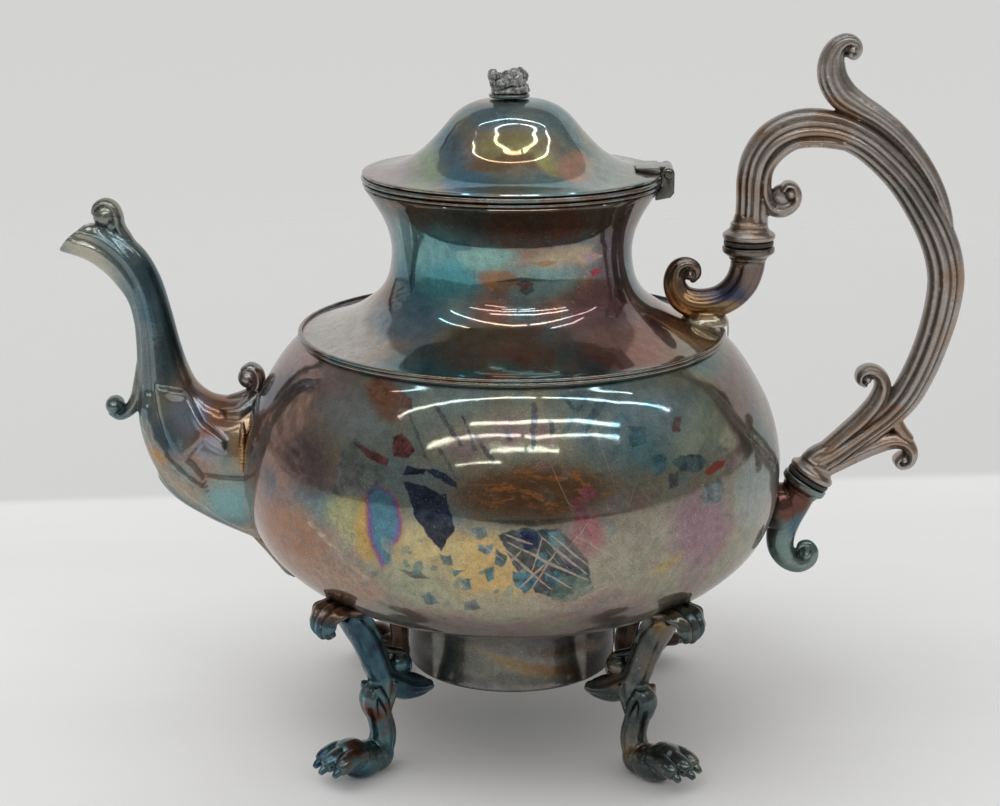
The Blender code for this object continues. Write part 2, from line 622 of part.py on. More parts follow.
# bracket on the neck, with the two end knuckles
hinge_bracket = piece("hinge_bracket", knuckle_plate(0.0, 180.0, [
    (48.6, 190.9), (46.6, 188.0), (46.6, 184.8), (51.4, 185.7), (52.6, 187.2)]), SILVER)
middle_gap = helper("middle_gap", block(
    (47.0, 54.0), (-KNUCKLE_SPLIT - GAP, KNUCKLE_SPLIT + GAP), (190.9, 197.0)))
cut(hinge_bracket, middle_gap, hinge_bore, neck_clear)

# strap on the lid, with the middle knuckle
hinge_lid_strap = piece("hinge_lid_strap", knuckle_plate(90.0, -270.0, [
    (48.3, 194.1), (44.6, 194.3), (40.2, 194.9), (40.2, 195.3)]), SILVER)
strap_cuts = [
    helper("strap_cut_%d" % i, block((47.7, 55), y_span, (190, 197)))
    for i, y_span in enumerate(((-HINGE_CUT_HALF, -KNUCKLE_SPLIT),
                                (KNUCKLE_SPLIT, HINGE_CUT_HALF)))]
cut(hinge_lid_strap, *strap_cuts, hinge_bore)

# headed pin: distance from the middle and radius, from an end in to the shank
PIN_HEAD_Y = HINGE_HALF + GAP
pin_end = [(PIN_HEAD_Y + 0.6, 1.2), (PIN_HEAD_Y + 0.4, PIN_HEAD_R),
           (PIN_HEAD_Y, PIN_HEAD_R), (PIN_HEAD_Y, PIN_R)]
pin_stations = [(-y, r) for y, r in pin_end] + pin_end[::-1]
piece("hinge_pin", skin(
    [[(HINGE_X + r * math.cos(a), y, HINGE_Z + r * math.sin(a)) for a in turn(12)]
     for y, r in pin_stations]), STEEL)

# ------------------------------------------------------------------ parenting
origin = link("teapot_origin", None)
lid_axis = link("lid_hinge_axis", None)
lid_axis.location = (HINGE_X * MM, 0.0, HINGE_Z * MM)
lid_axis.parent = origin
# the lid's pieces and their cutters swing about the hinge axis
for ob in (lid_dome, lid_rim_wire, lid_bezel, finial_base_ring, finial, finial_stud,
           finial_nut, hinge_lid_strap, hinge_notch, stud_bore, *strap_cuts):
    ob.parent = lid_axis
    ob.location = (-HINGE_X * MM, 0.0, -HINGE_Z * MM)
for ob in list(bpy.data.objects):
    if ob.type == 'MESH' and ob.parent is None:
        ob.parent = origin
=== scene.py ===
"""Looks of a footed silver teapot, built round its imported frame.

Measures are in millimetres until a mesh is made. +Z is up, the feet stand on z = 0, the spout
points to -X, the handle to +X, and the front faces -Y, towards the camera.
"""
import math

import bmesh
import bpy
import numpy as np
from mathutils import Matrix, Vector, noise


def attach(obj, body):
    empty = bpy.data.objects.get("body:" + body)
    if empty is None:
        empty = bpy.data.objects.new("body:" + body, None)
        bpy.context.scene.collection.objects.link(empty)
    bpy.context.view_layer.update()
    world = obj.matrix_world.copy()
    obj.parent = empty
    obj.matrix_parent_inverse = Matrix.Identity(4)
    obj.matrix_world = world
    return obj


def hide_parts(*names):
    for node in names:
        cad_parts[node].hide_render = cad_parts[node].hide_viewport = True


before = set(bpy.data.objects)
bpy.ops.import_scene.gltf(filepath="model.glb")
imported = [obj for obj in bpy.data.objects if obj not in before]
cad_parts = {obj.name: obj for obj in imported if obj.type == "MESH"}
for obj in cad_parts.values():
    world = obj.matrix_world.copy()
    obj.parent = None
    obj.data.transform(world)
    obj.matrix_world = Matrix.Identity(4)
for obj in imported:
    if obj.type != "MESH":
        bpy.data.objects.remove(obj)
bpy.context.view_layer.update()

MM = 0.001
ROOT, LID = "pot", "lid"


# ============================================================ lines and meshes
def smooth_line(points, steps):
    """Centripetal Catmull-Rom line through the points, any dimension, steps samples per span."""
    points = np.array(points, float)
    points = np.vstack([2 * points[0] - points[1], points, 2 * points[-1] - points[-2]])
    out = []
    for i in range(1, len(points) - 2):
        span = points[i - 1:i + 3]
        knots = [0.0]
        for start, end in zip(span[:-1], span[1:]):
            knots.append(knots[-1] + max(np.linalg.norm(end - start), 1e-9) ** 0.5)
        for k in range(steps):
            t = knots[1] + (knots[2] - knots[1]) * k / steps
            level = list(span)
            # pairs of knots between which each level of points is blended
            for pairs in ((0, 1), (1, 2), (2, 3)), ((0, 2), (1, 3)), ((1, 2),):
                level = [(knots[b] - t) / (knots[b] - knots[a]) * level[j]
                         + (t - knots[a]) / (knots[b] - knots[a]) * level[j + 1]
                         for j, (a, b) in enumerate(pairs)]
            out.append(level[0])
    out.append(points[-2])
    return np.array(out)


def tangents(line, guard=0.0):
    out = np.gradient(line, axis=0)
    return out / (np.linalg.norm(out, axis=1)[:, None] + guard)


def left_of(tangent):
    return np.stack([-tangent[:, 1], tangent[:, 0]], 1)


def turn(count):
    """Angles of one full turn."""
    return [2 * math.pi * k / count for k in range(count)]


def arc_points(x, z, radius, start, end, steps):
    """Arc in a profile, between two angles in degrees."""
    return [(x + radius * math.cos(math.radians(start + (end - start) * i / steps)),
             z + radius * math.sin(math.radians(start + (end - start) * i / steps)))
            for i in range(steps + 1)]


def shade(mesh, sharp):
    mesh.shade_smooth()
    if sharp:
        mesh.set_sharp_from_angle(angle=math.radians(sharp))


def make_mesh(verts, faces, sharp):
    """Closed mesh from millimetres, welded and facing outwards; sharp is an angle, 0 for none."""
    mesh = bpy.data.meshes.new("part")
    mesh.from_pydata([tuple(v) for v in (np.array(verts, float) * MM)], [], faces)
    bm = bmesh.new()
    bm.from_mesh(mesh)
    bmesh.ops.remove_doubles(bm, verts=bm.verts, dist=2e-7)
    bmesh.ops.recalc_face_normals(bm, faces=bm.faces)
    if bm.calc_volume(signed=True) < 0:
        bmesh.ops.reverse_faces(bm, faces=bm.faces)
    bm.to_mesh(mesh)
    bm.free()
    shade(mesh, sharp)
    return mesh


def add_object(name, mesh):
    mesh.name = name
    made = bpy.data.objects.new(name, mesh)
    bpy.context.scene.collection.objects.link(made)
    return made


def lathe(profile, segs=320, x0=0.0, sharp=35.0):
    """Turn a closed (radius, z) profile about the upright axis at x0."""
    verts, rows = [], []
    spokes = [(math.cos(a), math.sin(a)) for a in turn(segs)]
    for radius, z in profile:
        if radius < 1e-6:
            rows.append([len(verts)] * segs)
            verts.append((x0, 0.0, z))
        else:
            rows.append(list(range(len(verts), len(verts) + segs)))
            verts.extend((x0 + radius * c, radius * s, z) for c, s in spokes)
    faces = []
    for i, row in enumerate(rows):
        after = rows[(i + 1) % len(rows)]
        if row[0] == row[1] and after[0] == after[1]:
            continue
        for k in range(segs):
            k2 = (k + 1) % segs
            face = list(dict.fromkeys((row[k], row[k2], after[k2], after[k])))
            if len(face) > 2:
                faces.append(face)
    return make_mesh(verts, faces, sharp)


def skin(rings, sharp=0):
    """Capped tube over rings of equal count."""
    n = len(rings[0])
    verts = np.concatenate([np.array(ring, float) for ring in rings])
    faces = []
    for i in range(len(rings) - 1):
        for k in range(n):
            k2 = (k + 1) % n
            faces.append((i * n + k, i * n + k2, (i + 1) * n + k2, (i + 1) * n + k))
    faces.append(tuple(range(n)))
    faces.append(tuple((len(rings) - 1) * n + k for k in range(n)))
    return make_mesh(verts, faces, sharp)


def prism(outline, y0, y1):
    """Prism over an (x, z) outline, between two y values."""
    n = len(outline)
    verts = [(x, y0, z) for x, z in outline] + [(x, y1, z) for x, z in outline]
    faces = [tuple(range(n)), tuple(range(n, 2 * n))]
    for k in range(n):
        k2 = (k + 1) % n
        faces.append((k, k2, n + k2, n + k))
    return make_mesh(verts, faces, 30)


def rod(start, end, radius, segs):
    """Straight round rod."""
    start, end = Vector(start), Vector(end)
    along = (end - start).normalized()
    across = along.cross(Vector((0, 1, 0)))
    if across.length < 1e-3:
        across = along.cross(Vector((1, 0, 0)))
    across.normalize()
    third = along.cross(across)
    return skin([[tuple(start + (end - start) * t + across * (radius * math.cos(a))
                        + third * (radius * math.sin(a))) for a in turn(segs)]
                 for t in (0.0, 1.0)])


def grooved(angles, depth=0.10, width=13.0, crest=0.0):
    """Section with grooves at sorted angles in degrees, and crests midway between them."""
    middles = [(a + b) / 2 for a, b in zip(angles[:-1], angles[1:])]

    def section(angle):
        angle = math.degrees(min(angle, 2 * math.pi - angle))
        scale = 1.0 - depth * sum(math.exp(-((angle - c) / width) ** 2) for c in angles)
        return scale + crest * sum(math.exp(-((angle - c) / (width * 0.9)) ** 2)
                                   for c in middles)
    return section


def strand(path, steps=8, count=36, section=None, depth=None, ends=(True, True)):
    """Member along (x, z, thickness[, depth along Y]) points; ends says which are rounded."""
    line = smooth_line([p if len(p) == 4 else (*p, p[2] if depth is None else depth)
                        for p in path], steps)
    centre = line[:, :2]
    along = tangents(centre, 1e-12)
    across = left_of(along)
    phi = np.linspace(0, 2 * math.pi, count, endpoint=False)
    scale = np.array([section(a) for a in phi]) if section else 1.0
    rings = []
    for (x, z), (nx, nz), (thick, deep) in zip(centre, across, line[:, 2:] / 2):
        out = np.cos(phi) * scale * thick
        rings.append(np.stack([x + nx * out, np.sin(phi) * scale * deep, z + nz * out], 1))
    for i, sign in ((0, -1), (len(line) - 1, 1)):
        if not ends[min(i, 1)]:
            continue
        base = rings[0] if i == 0 else rings[-1]
        middle = np.array([centre[i, 0], 0, centre[i, 1]])
        extra = []
        for k in range(1, 5):
            a = math.pi / 2 * k / 5
            x, z = centre[i] + along[i] * sign * (line[i, 2] / 2) * math.sin(a)
            extra.append(np.array([x, 0, z]) + (base - middle) * math.cos(a))
        rings = extra[::-1] + rings if i == 0 else rings + extra
    return skin(rings)


def curl(path, steps=10, count=40, depth=None, grooves=(62, 118), groove_depth=0.10, width=13,
         ends=(True, True)):
    """Strand of a scroll with shallow grooves in its sides."""
    return strand(path, steps, count, grooved(grooves, groove_depth, width), depth, ends)


def blob(x, y, z, rx, ry, rz, lat=18, lon=32):
    """Ellipsoid without its pole points."""
    rings = []
    for i in range(1, lat):
        a = -math.pi / 2 + math.pi * i / lat
        rings.append([(x + rx * math.cos(a) * math.cos(b), y + ry * math.cos(a) * math.sin(b),
                       z + rz * math.sin(a)) for b in turn(lon)])
    return skin(rings)


def round_bar(points, steps=6, count=20):
    """Round bar along (x, y, z, radius) points."""
    line = smooth_line(points, steps)
    along = tangents(line[:, :3], 1e-12)
    upright = abs(along[0, 2]) >= 0.9
    across = np.cross(along[0], np.array([1.0, 0.0, 0.0] if upright else [0.0, 0.0, 1.0]))
    across /= np.linalg.norm(across)
    rings = []
    for point, forward in zip(line, along):
        across = across - forward * float(across @ forward)
        across /= np.linalg.norm(across) + 1e-12
        third = np.cross(forward, across)
        rings.append([tuple(point[:3] + point[3] * (math.cos(a) * across + math.sin(a) * third))
                      for a in turn(count)])
    return skin(rings)


def settle(target):
    """Replace an object's mesh by its evaluated one and drop the modifiers."""
    depsgraph = bpy.context.evaluated_depsgraph_get()
    mesh = bpy.data.meshes.new_from_object(target.evaluated_get(depsgraph))
    target.modifiers.clear()
    target.data = mesh


def cut(target, *meshes):
    """Cut the meshes out of an object, all in one evaluation."""
    cutters = [add_object("cutter", mesh) for mesh in meshes]
    for cutter in cutters:
        mod = target.modifiers.new("cut", 'BOOLEAN')
        mod.operation = 'DIFFERENCE'
        mod.object = cutter
        mod.solver = 'EXACT'
    settle(target)
    for cutter in cutters:
        bpy.data.objects.remove(cutter, do_unlink=True)


def melt(name, meshes, voxel=0.30, passes=4, factor=0.45):
    """Fuse overlapping closed meshes into one skin and ease the joins."""
    bm = bmesh.new()
    for mesh in meshes:
        bm.from_mesh(mesh)
    joined = bpy.data.meshes.new(name)
    bm.to_mesh(joined)
    bm.free()
    made = add_object(name, joined)
    remesh = made.modifiers.new("remesh", 'REMESH')
    remesh.mode = 'VOXEL'
    remesh.voxel_size = voxel * MM
    remesh.adaptivity = 0.0
    smooth = made.modifiers.new("smooth", 'SMOOTH')
    smooth.factor = factor
    smooth.iterations = passes
    settle(made)
    made.data.shade_smooth()
    return made


def displace(mesh, height):
    """Move vertices along their normals by height(points), all in millimetres."""
    coords = np.empty(len(mesh.vertices) * 3)
    mesh.vertices.foreach_get("co", coords)
    normals = np.empty(len(mesh.vertices) * 3)
    mesh.vertices.foreach_get("normal", normals)
    points = coords.reshape(-1, 3) / MM
    points = points + normals.reshape(-1, 3) * height(points)[:, None]
    mesh.vertices.foreach_set("co", (points * MM).ravel())
    mesh.update()


# ============================================================ bowl, neck, base pan
# outlines are (radius, z)
BELLY = smooth_line([
    (70.1, 138.3), (73.5, 135.3), (76.9, 131.4), (81.4, 124.6), (86.4, 115), (89.5, 104),
    (90.3, 94), (89.1, 82.5), (84.8, 72), (77.2, 63.6), (68.2, 57.2), (58, 52.6), (48, 49.2),
    (38, 47.5)], 10)
BELLY_INSIDE = smooth_line([
    (69.4, 137.2), (75.6, 130.8), (80.1, 124), (85.1, 114.6), (88.3, 103.8), (89.1, 94),
    (87.9, 82.8), (83.8, 72.8), (76.4, 64.6), (67.6, 58.4), (57.6, 53.8), (47.8, 50.4),
    (38, 48.7)], 6)
NECK = smooth_line([
    (69.5, 140.5), (66.5, 141.1), (62, 142.4), (57.5, 144.1), (53, 146.3), (48.6, 149.2),
    (45.4, 151.7), (43, 154.4), (41, 158.2), (39.9, 163), (39.6, 168.5), (40.6, 174),
    (42.6, 179), (45.4, 183.8), (48, 187.6)], 8)
NECK_INSIDE = smooth_line([
    (66.2, 139.9), (61.6, 141.1), (57, 142.8), (52.4, 145.1), (47.9, 148.1), (44.4, 150.7),
    (42, 153.6), (39.8, 157.6), (38.7, 162.9), (38.4, 168.5), (39.4, 174.3), (41.5, 179.5),
    (44.3, 184.3), (46.9, 188)], 5)

# round holes through the belly's -X wall, in staggered rows about y = 0
HOLE_R, HOLE_SEGS, HOLE_PITCH = 1.6, 20, 7.0
HOLE_ROWS_Z = (80, 86, 92, 98, 104)
HOLE_X = (-96, -80)


def hole_drills():
    verts, faces = [], []
    for row, hole_z in enumerate(HOLE_ROWS_Z):
        half = HOLE_PITCH / 2
        for hole_y in ((-half, half) if row % 2 == 0 else (-HOLE_PITCH, 0.0, HOLE_PITCH)):
            base = len(verts)
            for x in HOLE_X:
                verts.extend((x, hole_y + HOLE_R * math.cos(a), hole_z + HOLE_R * math.sin(a))
                             for a in turn(HOLE_SEGS))
            for k in range(HOLE_SEGS):
                k2 = (k + 1) % HOLE_SEGS
                faces.append((base + k, base + k2, base + HOLE_SEGS + k2, base + HOLE_SEGS + k))
            for end in (base, base + HOLE_SEGS):
                faces.append(tuple(end + k for k in range(HOLE_SEGS)))
    return make_mesh(verts, faces, 0)


def build_bowl():
    made = add_object("bowl_skin", lathe(
        [(69.5, 139), (69.5, 138.3), *BELLY, (20, 47.45), (0, 47.45), (0, 48.65), (20, 48.65),
         *BELLY_INSIDE[::-1], (68.4, 138.2), (68.3, 139)]))
    cut(made, hole_drills())
    return made


def belly_body(grow):
    """Solid of the belly, grown outwards, for trimming what touches it."""
    outer = BELLY + left_of(tangents(BELLY)) * grow
    return lathe([(0, 160), (70.1 + grow, 160), *outer, (0, 47.4 - grow)])


def build_neck():
    return add_object("neck_skin", lathe(
        [(68.3, 139.4), (69.4, 139.4), *NECK, (48.35, 188.3), (48.1, 188.7), (47.3, 188.7),
         *NECK_INSIDE[::-1]]))


def neck_body(grow):
    """Solid of the neck and shoulder, grown outwards, for trimming what touches it."""
    outer = NECK - left_of(tangents(NECK)) * grow
    return lathe([(0, 120), (71.9, 120), (71.9, 142.2), (68.6, 142.2), *outer[10:],
                  (49.3, 189), (49.3, 190.5), (0, 190.5)])


def build_shoulder_wire():
    """Two small beads with a fine groove between them."""
    return add_object("shoulder_wire_bead", lathe(
        [(69.6, 138.8), *arc_points(70.5, 139.45, 0.6, -80, 75, 10),
         *arc_points(70.3, 140.65, 0.6, -70, 88, 10), (69.6, 141.25)], sharp=50))


def build_neck_rim():
    return add_object("neck_rim_bead", lathe(
        [(46.7, 189.1), *arc_points(48.35, 189.55, 0.55, -80, 80, 8), (46.7, 190.05),
         (46.5, 189.6)], sharp=50))


def build_base_pan():
    outside = smooth_line([(40, 46.95), (38.5, 44.9), (37.3, 42.2), (36.5, 38.8), (36.1, 34.5),
                           (35.9, 30), (35.5, 27)], 8)
    inside = smooth_line([(33.9, 28), (34.5, 31), (34.8, 35), (35.2, 39), (36, 42.6),
                          (37.2, 45.2), (38.8, 46.95)], 6)
    return add_object("base_pan_skin", lathe(
        [*outside, *arc_points(34.4, 25.3, 1.1, 20, -95, 10), (33, 24.4), (31.4, 25.3),
         (30, 25.5), (0, 25.5), (0, 26.6), (30.5, 26.6), (33, 27), *inside]))


# ============================================================ lid
LID_WIRE_R, LID_WIRE_Z, LID_WIRE_THICK = 48.5, 191.3, 0.8
LID_WIRE_OPEN = math.radians(11)    # half the gap the wire leaves at the hinge
FINIAL_X = -0.9


def build_lid():
    outside = smooth_line([
        (44.6, 193.62), (41.6, 194.1), (38.2, 195.05), (33.6, 197.2), (29.2, 200.2), (25.3, 204),
        (21.8, 208), (18.8, 211.4), (15.2, 214.1), (11, 215.8), (6.5, 216.45), (2.6, 216.6)], 8)
    inside = smooth_line([
        (44.5, 192.6), (41.3, 193.05), (37.8, 194.1), (33, 196.3), (28.5, 199.4), (24.6, 203.1),
        (21.1, 207.1), (18.1, 210.4), (14.6, 213.1), (10.8, 214.75), (6, 215.4), (2.6, 215.55)],
        5)
    made = add_object("lid_dome_skin", lathe(
        [(48.2, 192.45), (48.75, 192.6), (48.9, 192.95), (48.75, 193.25), (48.35, 193.4),
         (46.5, 193.45), *outside, *inside[::-1]], sharp=40))
    # notch for the hinge
    cut(made, prism([(48, 180), (60, 180), (60, 199), (48, 199)], -9, 9))
    return made


def build_lid_wire():
    rings = []
    for i in range(241):
        a = LID_WIRE_OPEN + (2 * math.pi - 2 * LID_WIRE_OPEN) * i / 240
        rings.append([((LID_WIRE_R + LID_WIRE_THICK * math.cos(b)) * math.cos(a),
                       (LID_WIRE_R + LID_WIRE_THICK * math.cos(b)) * math.sin(a),
                       LID_WIRE_Z + LID_WIRE_THICK * math.sin(b)) for b in turn(20)])
    return add_object("lid_rim_bead", skin(rings, sharp=50))


def build_bezel():
    return add_object("lid_bezel_ring", lathe(
        [(42.7, 184.2), (43.4, 184.2), (43.6, 184.5), (43.6, 191), (43.9, 191.35), (45.8, 191.5),
         (46, 191.8), (45.8, 192.1), (42.6, 192.1), (42.5, 191.8), (42.5, 184.5)]))


def build_finial_washer():
    return add_object("finial_washer", lathe(
        [(1.7, 216.95), (6, 216.95), *arc_points(6.05, 217.6, 0.62, -80, 80, 10), (5.8, 218.3),
         (1.7, 218.3)], segs=96, x0=FINIAL_X))


# ============================================================ spout
# lower x, z and upper x, z of each cross-section, then its width along Y, lip to root
SPOUT_STATIONS = [
    (-149.6, 165.3, -139.2, 174.5, 12.4), (-146, 164.4, -137, 175, 13),
    (-141.2, 162.6, -133.6, 174.6, 13.8), (-135.8, 158.8, -127.5, 171.2, 14.2),
    (-131.8, 154.4, -121.6, 165.4, 14), (-128.3, 149, -117.2, 157.2, 13.6),
    (-126.6, 142.5, -114.2, 146.8, 13.6), (-126.1, 134.7, -111.4, 134.6, 14.4),
    (-126.2, 126.5, -109.2, 127.2, 16.4), (-126.4, 117, -106.3, 121, 19.2),
    (-126.1, 106, -101.5, 116.9, 22.8), (-122.8, 94, -96, 115.9, 26.8),
    (-115.5, 82.2, -90.5, 117, 30.8), (-104, 74.4, -86.5, 118.2, 33.8),
    (-90, 67.9, -82, 118.2, 34.8), (-77, 62.9, -74, 117, 34)]
SPOUT_STEPS, SPOUT_COUNT = 11, 192
# angle from the top of the lower and the upper side ridge, at stations 0 to 10
LOWER_RIDGE = (100, 100, 100, 100, 103, 110, 117, 122, 125, 128, 130)
UPPER_RIDGE = (62, 62, 66, 71, 75, 81, 86, 90, 93, 97, 104)
# the middle of the lip bulges forward between its two corners, less on each ring behind it
LIP_FORWARD, LIP_UP = 1.5, 1.2
LIP_WEIGHTS = (1, 0.96, 0.9, 0.82, 0.7, 0.56, 0.42, 0.28, 0.14)

# (x, z) outlines and midribs of the leaves in relief on the spout's sides
LEAF_UPPER = [
    (-118.6, 122), (-114.5, 121), (-109.5, 119.5), (-106.2, 115), (-102.5, 110.2),
    (-97.5, 107.2), (-94.4, 104.6), (-94.8, 101.2), (-98.8, 102.4), (-102.2, 104.4),
    (-105.2, 101), (-108.5, 97), (-112.4, 99), (-115.6, 105), (-117.6, 113)]
LEAF_UPPER_RIB = [(-113.6, 119.6), (-108.4, 117.6), (-105.4, 112), (-101.8, 107.6), (-95.4, 105)]
LEAF_LOWER = [
    (-124.4, 112.5), (-122.6, 104.9), (-119.6, 97.5), (-116.4, 92), (-110.6, 86), (-103, 80),
    (-99.5, 82), (-101.8, 91.9), (-105.6, 96.6), (-110.5, 100.6), (-114.6, 103.4),
    (-117.4, 110.6), (-119.4, 119), (-122.4, 119)]
LEAF_LOWER_RIB = [(-121.4, 114), (-118.4, 105.2), (-113.6, 97), (-107, 91.4), (-102.4, 88.4)]
LEAF_LOWER_VEINS = [
    ((-120.4, 110), (-123, 106)), ((-118, 104), (-119.4, 98.4)), ((-114.6, 98.4), (-113.6, 91)),
    ((-110, 94), (-107.6, 86.4)), ((-106, 91.2), (-103.2, 84))]
LEAF_ROOT = [
    (-101.9, 93.4), (-96, 92.8), (-87, 92.6), (-86, 84), (-86.6, 72.5), (-90, 71), (-97, 74.6),
    (-102.6, 79.4), (-101.4, 86)]
LEAF_TOP = [
    (-84, 121.6), (-88.4, 117.2), (-92.1, 114.2), (-96.9, 113.6), (-94.4, 111.2),
    (-90.4, 111.4), (-86, 114.2), (-83.6, 117)]
LEAF_TOP_RIB = [(-97, 112.6), (-90, 113.4), (-84, 118)]
KEEL = [(-119.5, 87), (-113.8, 80.9), (-107.5, 76.5), (-98.4, 71.2), (-90, 68), (-84, 63.6)]


def spout_wall():
    phi = np.linspace(0, 2 * math.pi, SPOUT_COUNT, endpoint=False)
    degrees = np.degrees(np.minimum(phi, 2 * math.pi - phi))
    side = np.sin(phi)

    def bell(centre, width):
        return np.exp(-((degrees - centre) / width) ** 2)

    rings = []
    for i, (x0, z0, x1, z1, depth) in enumerate(smooth_line(SPOUT_STATIONS, SPOUT_STEPS)):
        station = i / SPOUT_STEPS
        fade = np.clip((10.6 - station) / 1.6, 0, 1)
        lower = np.interp(station, range(11), LOWER_RIDGE)
        upper = np.interp(station, range(11), UPPER_RIDGE)
        ridge = 0.085 * fade * np.clip(station / 0.6, 0.25, 1)
        relief = ridge * bell(lower, 6.5) + ridge * 0.9 * bell(upper, 6.5)
        # hollows between and beside the ridges
        relief -= 0.045 * fade * bell((lower + upper) / 2, 9.0)
        relief -= 0.030 * fade * bell(lower + 22, 12.0)
        relief -= 0.030 * fade * bell(upper - 20, 11.0)
        # fine reeds along the middle of the spout
        reeds = np.clip(min(station - 4.2, 9.6 - station) / 1.2, 0, 1)
        for part in (0.3, 0.62):
            relief += 0.030 * reeds * bell(upper + (lower - upper) * part, 3.2)
        relief += 0.022 * reeds * bell(upper - 12, 3.0)
        scale = 1.0 + relief
        # the underside is flatter than the top, so that the ridge below reads as an edge
        flat = 1.0 - 0.10 * fade * np.clip(-np.cos(phi), 0, 1) ** 2 * np.abs(side)
        rings.append(np.stack([(x0 + x1) / 2 + (x1 - x0) / 2 * np.cos(phi) * scale,
                               depth / 2 * side * scale * flat,
                               (z0 + z1) / 2 + (z1 - z0) / 2 * np.cos(phi) * scale], 1))
    for ring, weight in zip(rings, LIP_WEIGHTS):
        bulge = np.abs(side) * weight
        ring[:, 0] -= LIP_FORWARD * bulge
        ring[:, 2] += LIP_UP * bulge
    return skin(rings)


def line_distance(points, line):
    out = np.full(len(points), 1e9)
    for start, end in zip(line[:-1], line[1:]):
        start = np.array(start, float)
        span = np.array(end, float) - start
        t = np.clip(((points - start) @ span) / max(float(span @ span), 1e-12), 0.0, 1.0)
        out = np.minimum(out, np.linalg.norm(points - (start + t[:, None] * span), axis=1))
    return out


def is_inside(points, outline):
    x, y = points[:, 0], points[:, 1]
    hit = np.zeros(len(points), bool)
    for (x0, y0), (x1, y1) in zip(outline, outline[1:] + outline[:1]):
        if y0 != y1:
            hit ^= ((y0 > y) != (y1 > y)) & (x < (x1 - x0) * (y - y0) / (y1 - y0) + x0)
    return hit


def leaf_height(points, outline, height, soft, rib=None, rib_height=0.0, rib_width=0.8):
    """Raised leaf: full height inside the outline, a soft edge, and a raised midrib."""
    dist = line_distance(points, outline + outline[:1])
    dist = np.where(is_inside(points, outline), dist, -dist)
    t = np.clip((dist + soft * 0.35) / soft, 0.0, 1.0)
    out = height * t * t * (3 - 2 * t)
    # a fine rolled lip along the edge
    out = out + height * 0.22 * np.exp(-((dist - soft * 1.1) / (soft * 0.8)) ** 2)
    if rib is not None:
        out = out + rib_height * np.exp(-(line_distance(points, rib) / rib_width) ** 2) * t
    return out


def spout_relief(points):
    flat, y = points[:, [0, 2]], points[:, 1]
    side = np.clip((np.abs(y) - 2.5) / 2.0, 0, 1)
    out = leaf_height(flat, LEAF_UPPER, height=1.25, soft=1.7, rib=LEAF_UPPER_RIB,
                      rib_height=1.1, rib_width=1.3)
    out = np.maximum(out, leaf_height(flat, LEAF_LOWER, height=0.95, soft=1.7,
                                      rib=LEAF_LOWER_RIB, rib_height=1.0, rib_width=1.2))
    out = np.maximum(out, leaf_height(flat, LEAF_ROOT, height=0.65, soft=1.6))
    out = np.maximum(out, leaf_height(flat, LEAF_TOP, height=1.0, soft=1.2,
                                      rib=LEAF_TOP_RIB, rib_height=0.5, rib_width=0.7))
    out = out * side
    for vein in LEAF_LOWER_VEINS:
        out = out + 0.42 * side * np.exp(-(line_distance(flat, vein) / 0.85) ** 2)
    # keel along the bottom, with a fainter ridge on each side of it
    low = line_distance(flat, KEEL)
    out = out + 1.5 * np.exp(-(y / 1.8) ** 2) * np.exp(-(low / 2.6) ** 2)
    return out + 0.7 * np.exp(-((np.abs(y) - 6.4) / 1.3) ** 2) * np.exp(-(low / 4.2) ** 2)


def shrunk(station, wall, dx=0.0, dz=0.0):
    """Cross-section drawn in by a wall thickness and shifted."""
    x0, z0, x1, z1, depth = station
    length = math.hypot(x1 - x0, z1 - z0)
    wall_x, wall_z = (x1 - x0) / length * wall, (z1 - z0) / length * wall
    return (x0 + wall_x + dx, z0 + wall_z + dz, x1 - wall_x + dx, z1 - wall_z + dz,
            depth - 2 * wall)


def spout_bore():
    lip, root = SPOUT_STATIONS[0], SPOUT_STATIONS[-1]
    # the wall thickens from station 7 on
    inner = [shrunk(station, 1.5 + 0.15 * i * (i > 6))
             for i, station in enumerate(SPOUT_STATIONS) if i > 0]
    line = smooth_line([shrunk(lip, 1.3, -6.0, 1.0), shrunk(lip, 1.2, -1.5, 0.4), *inner,
                        shrunk(root, 4.0, 5.0, 0.0)], 5)
    rings = []
    for i, (x0, z0, x1, z1, depth) in enumerate(line):
        ring = []
        for a in turn(48):
            bulge = abs(math.sin(a)) * max(0.0, 1.0 - i / 14.0) if i < 12 else 0.0
            ring.append(((x0 + x1) / 2 + (x1 - x0) / 2 * math.cos(a) - LIP_FORWARD * bulge,
                         depth / 2 * math.sin(a),
                         (z0 + z1) / 2 + (z1 - z0) / 2 * math.cos(a) + LIP_UP * bulge))
        rings.append(ring)
    return skin(rings)


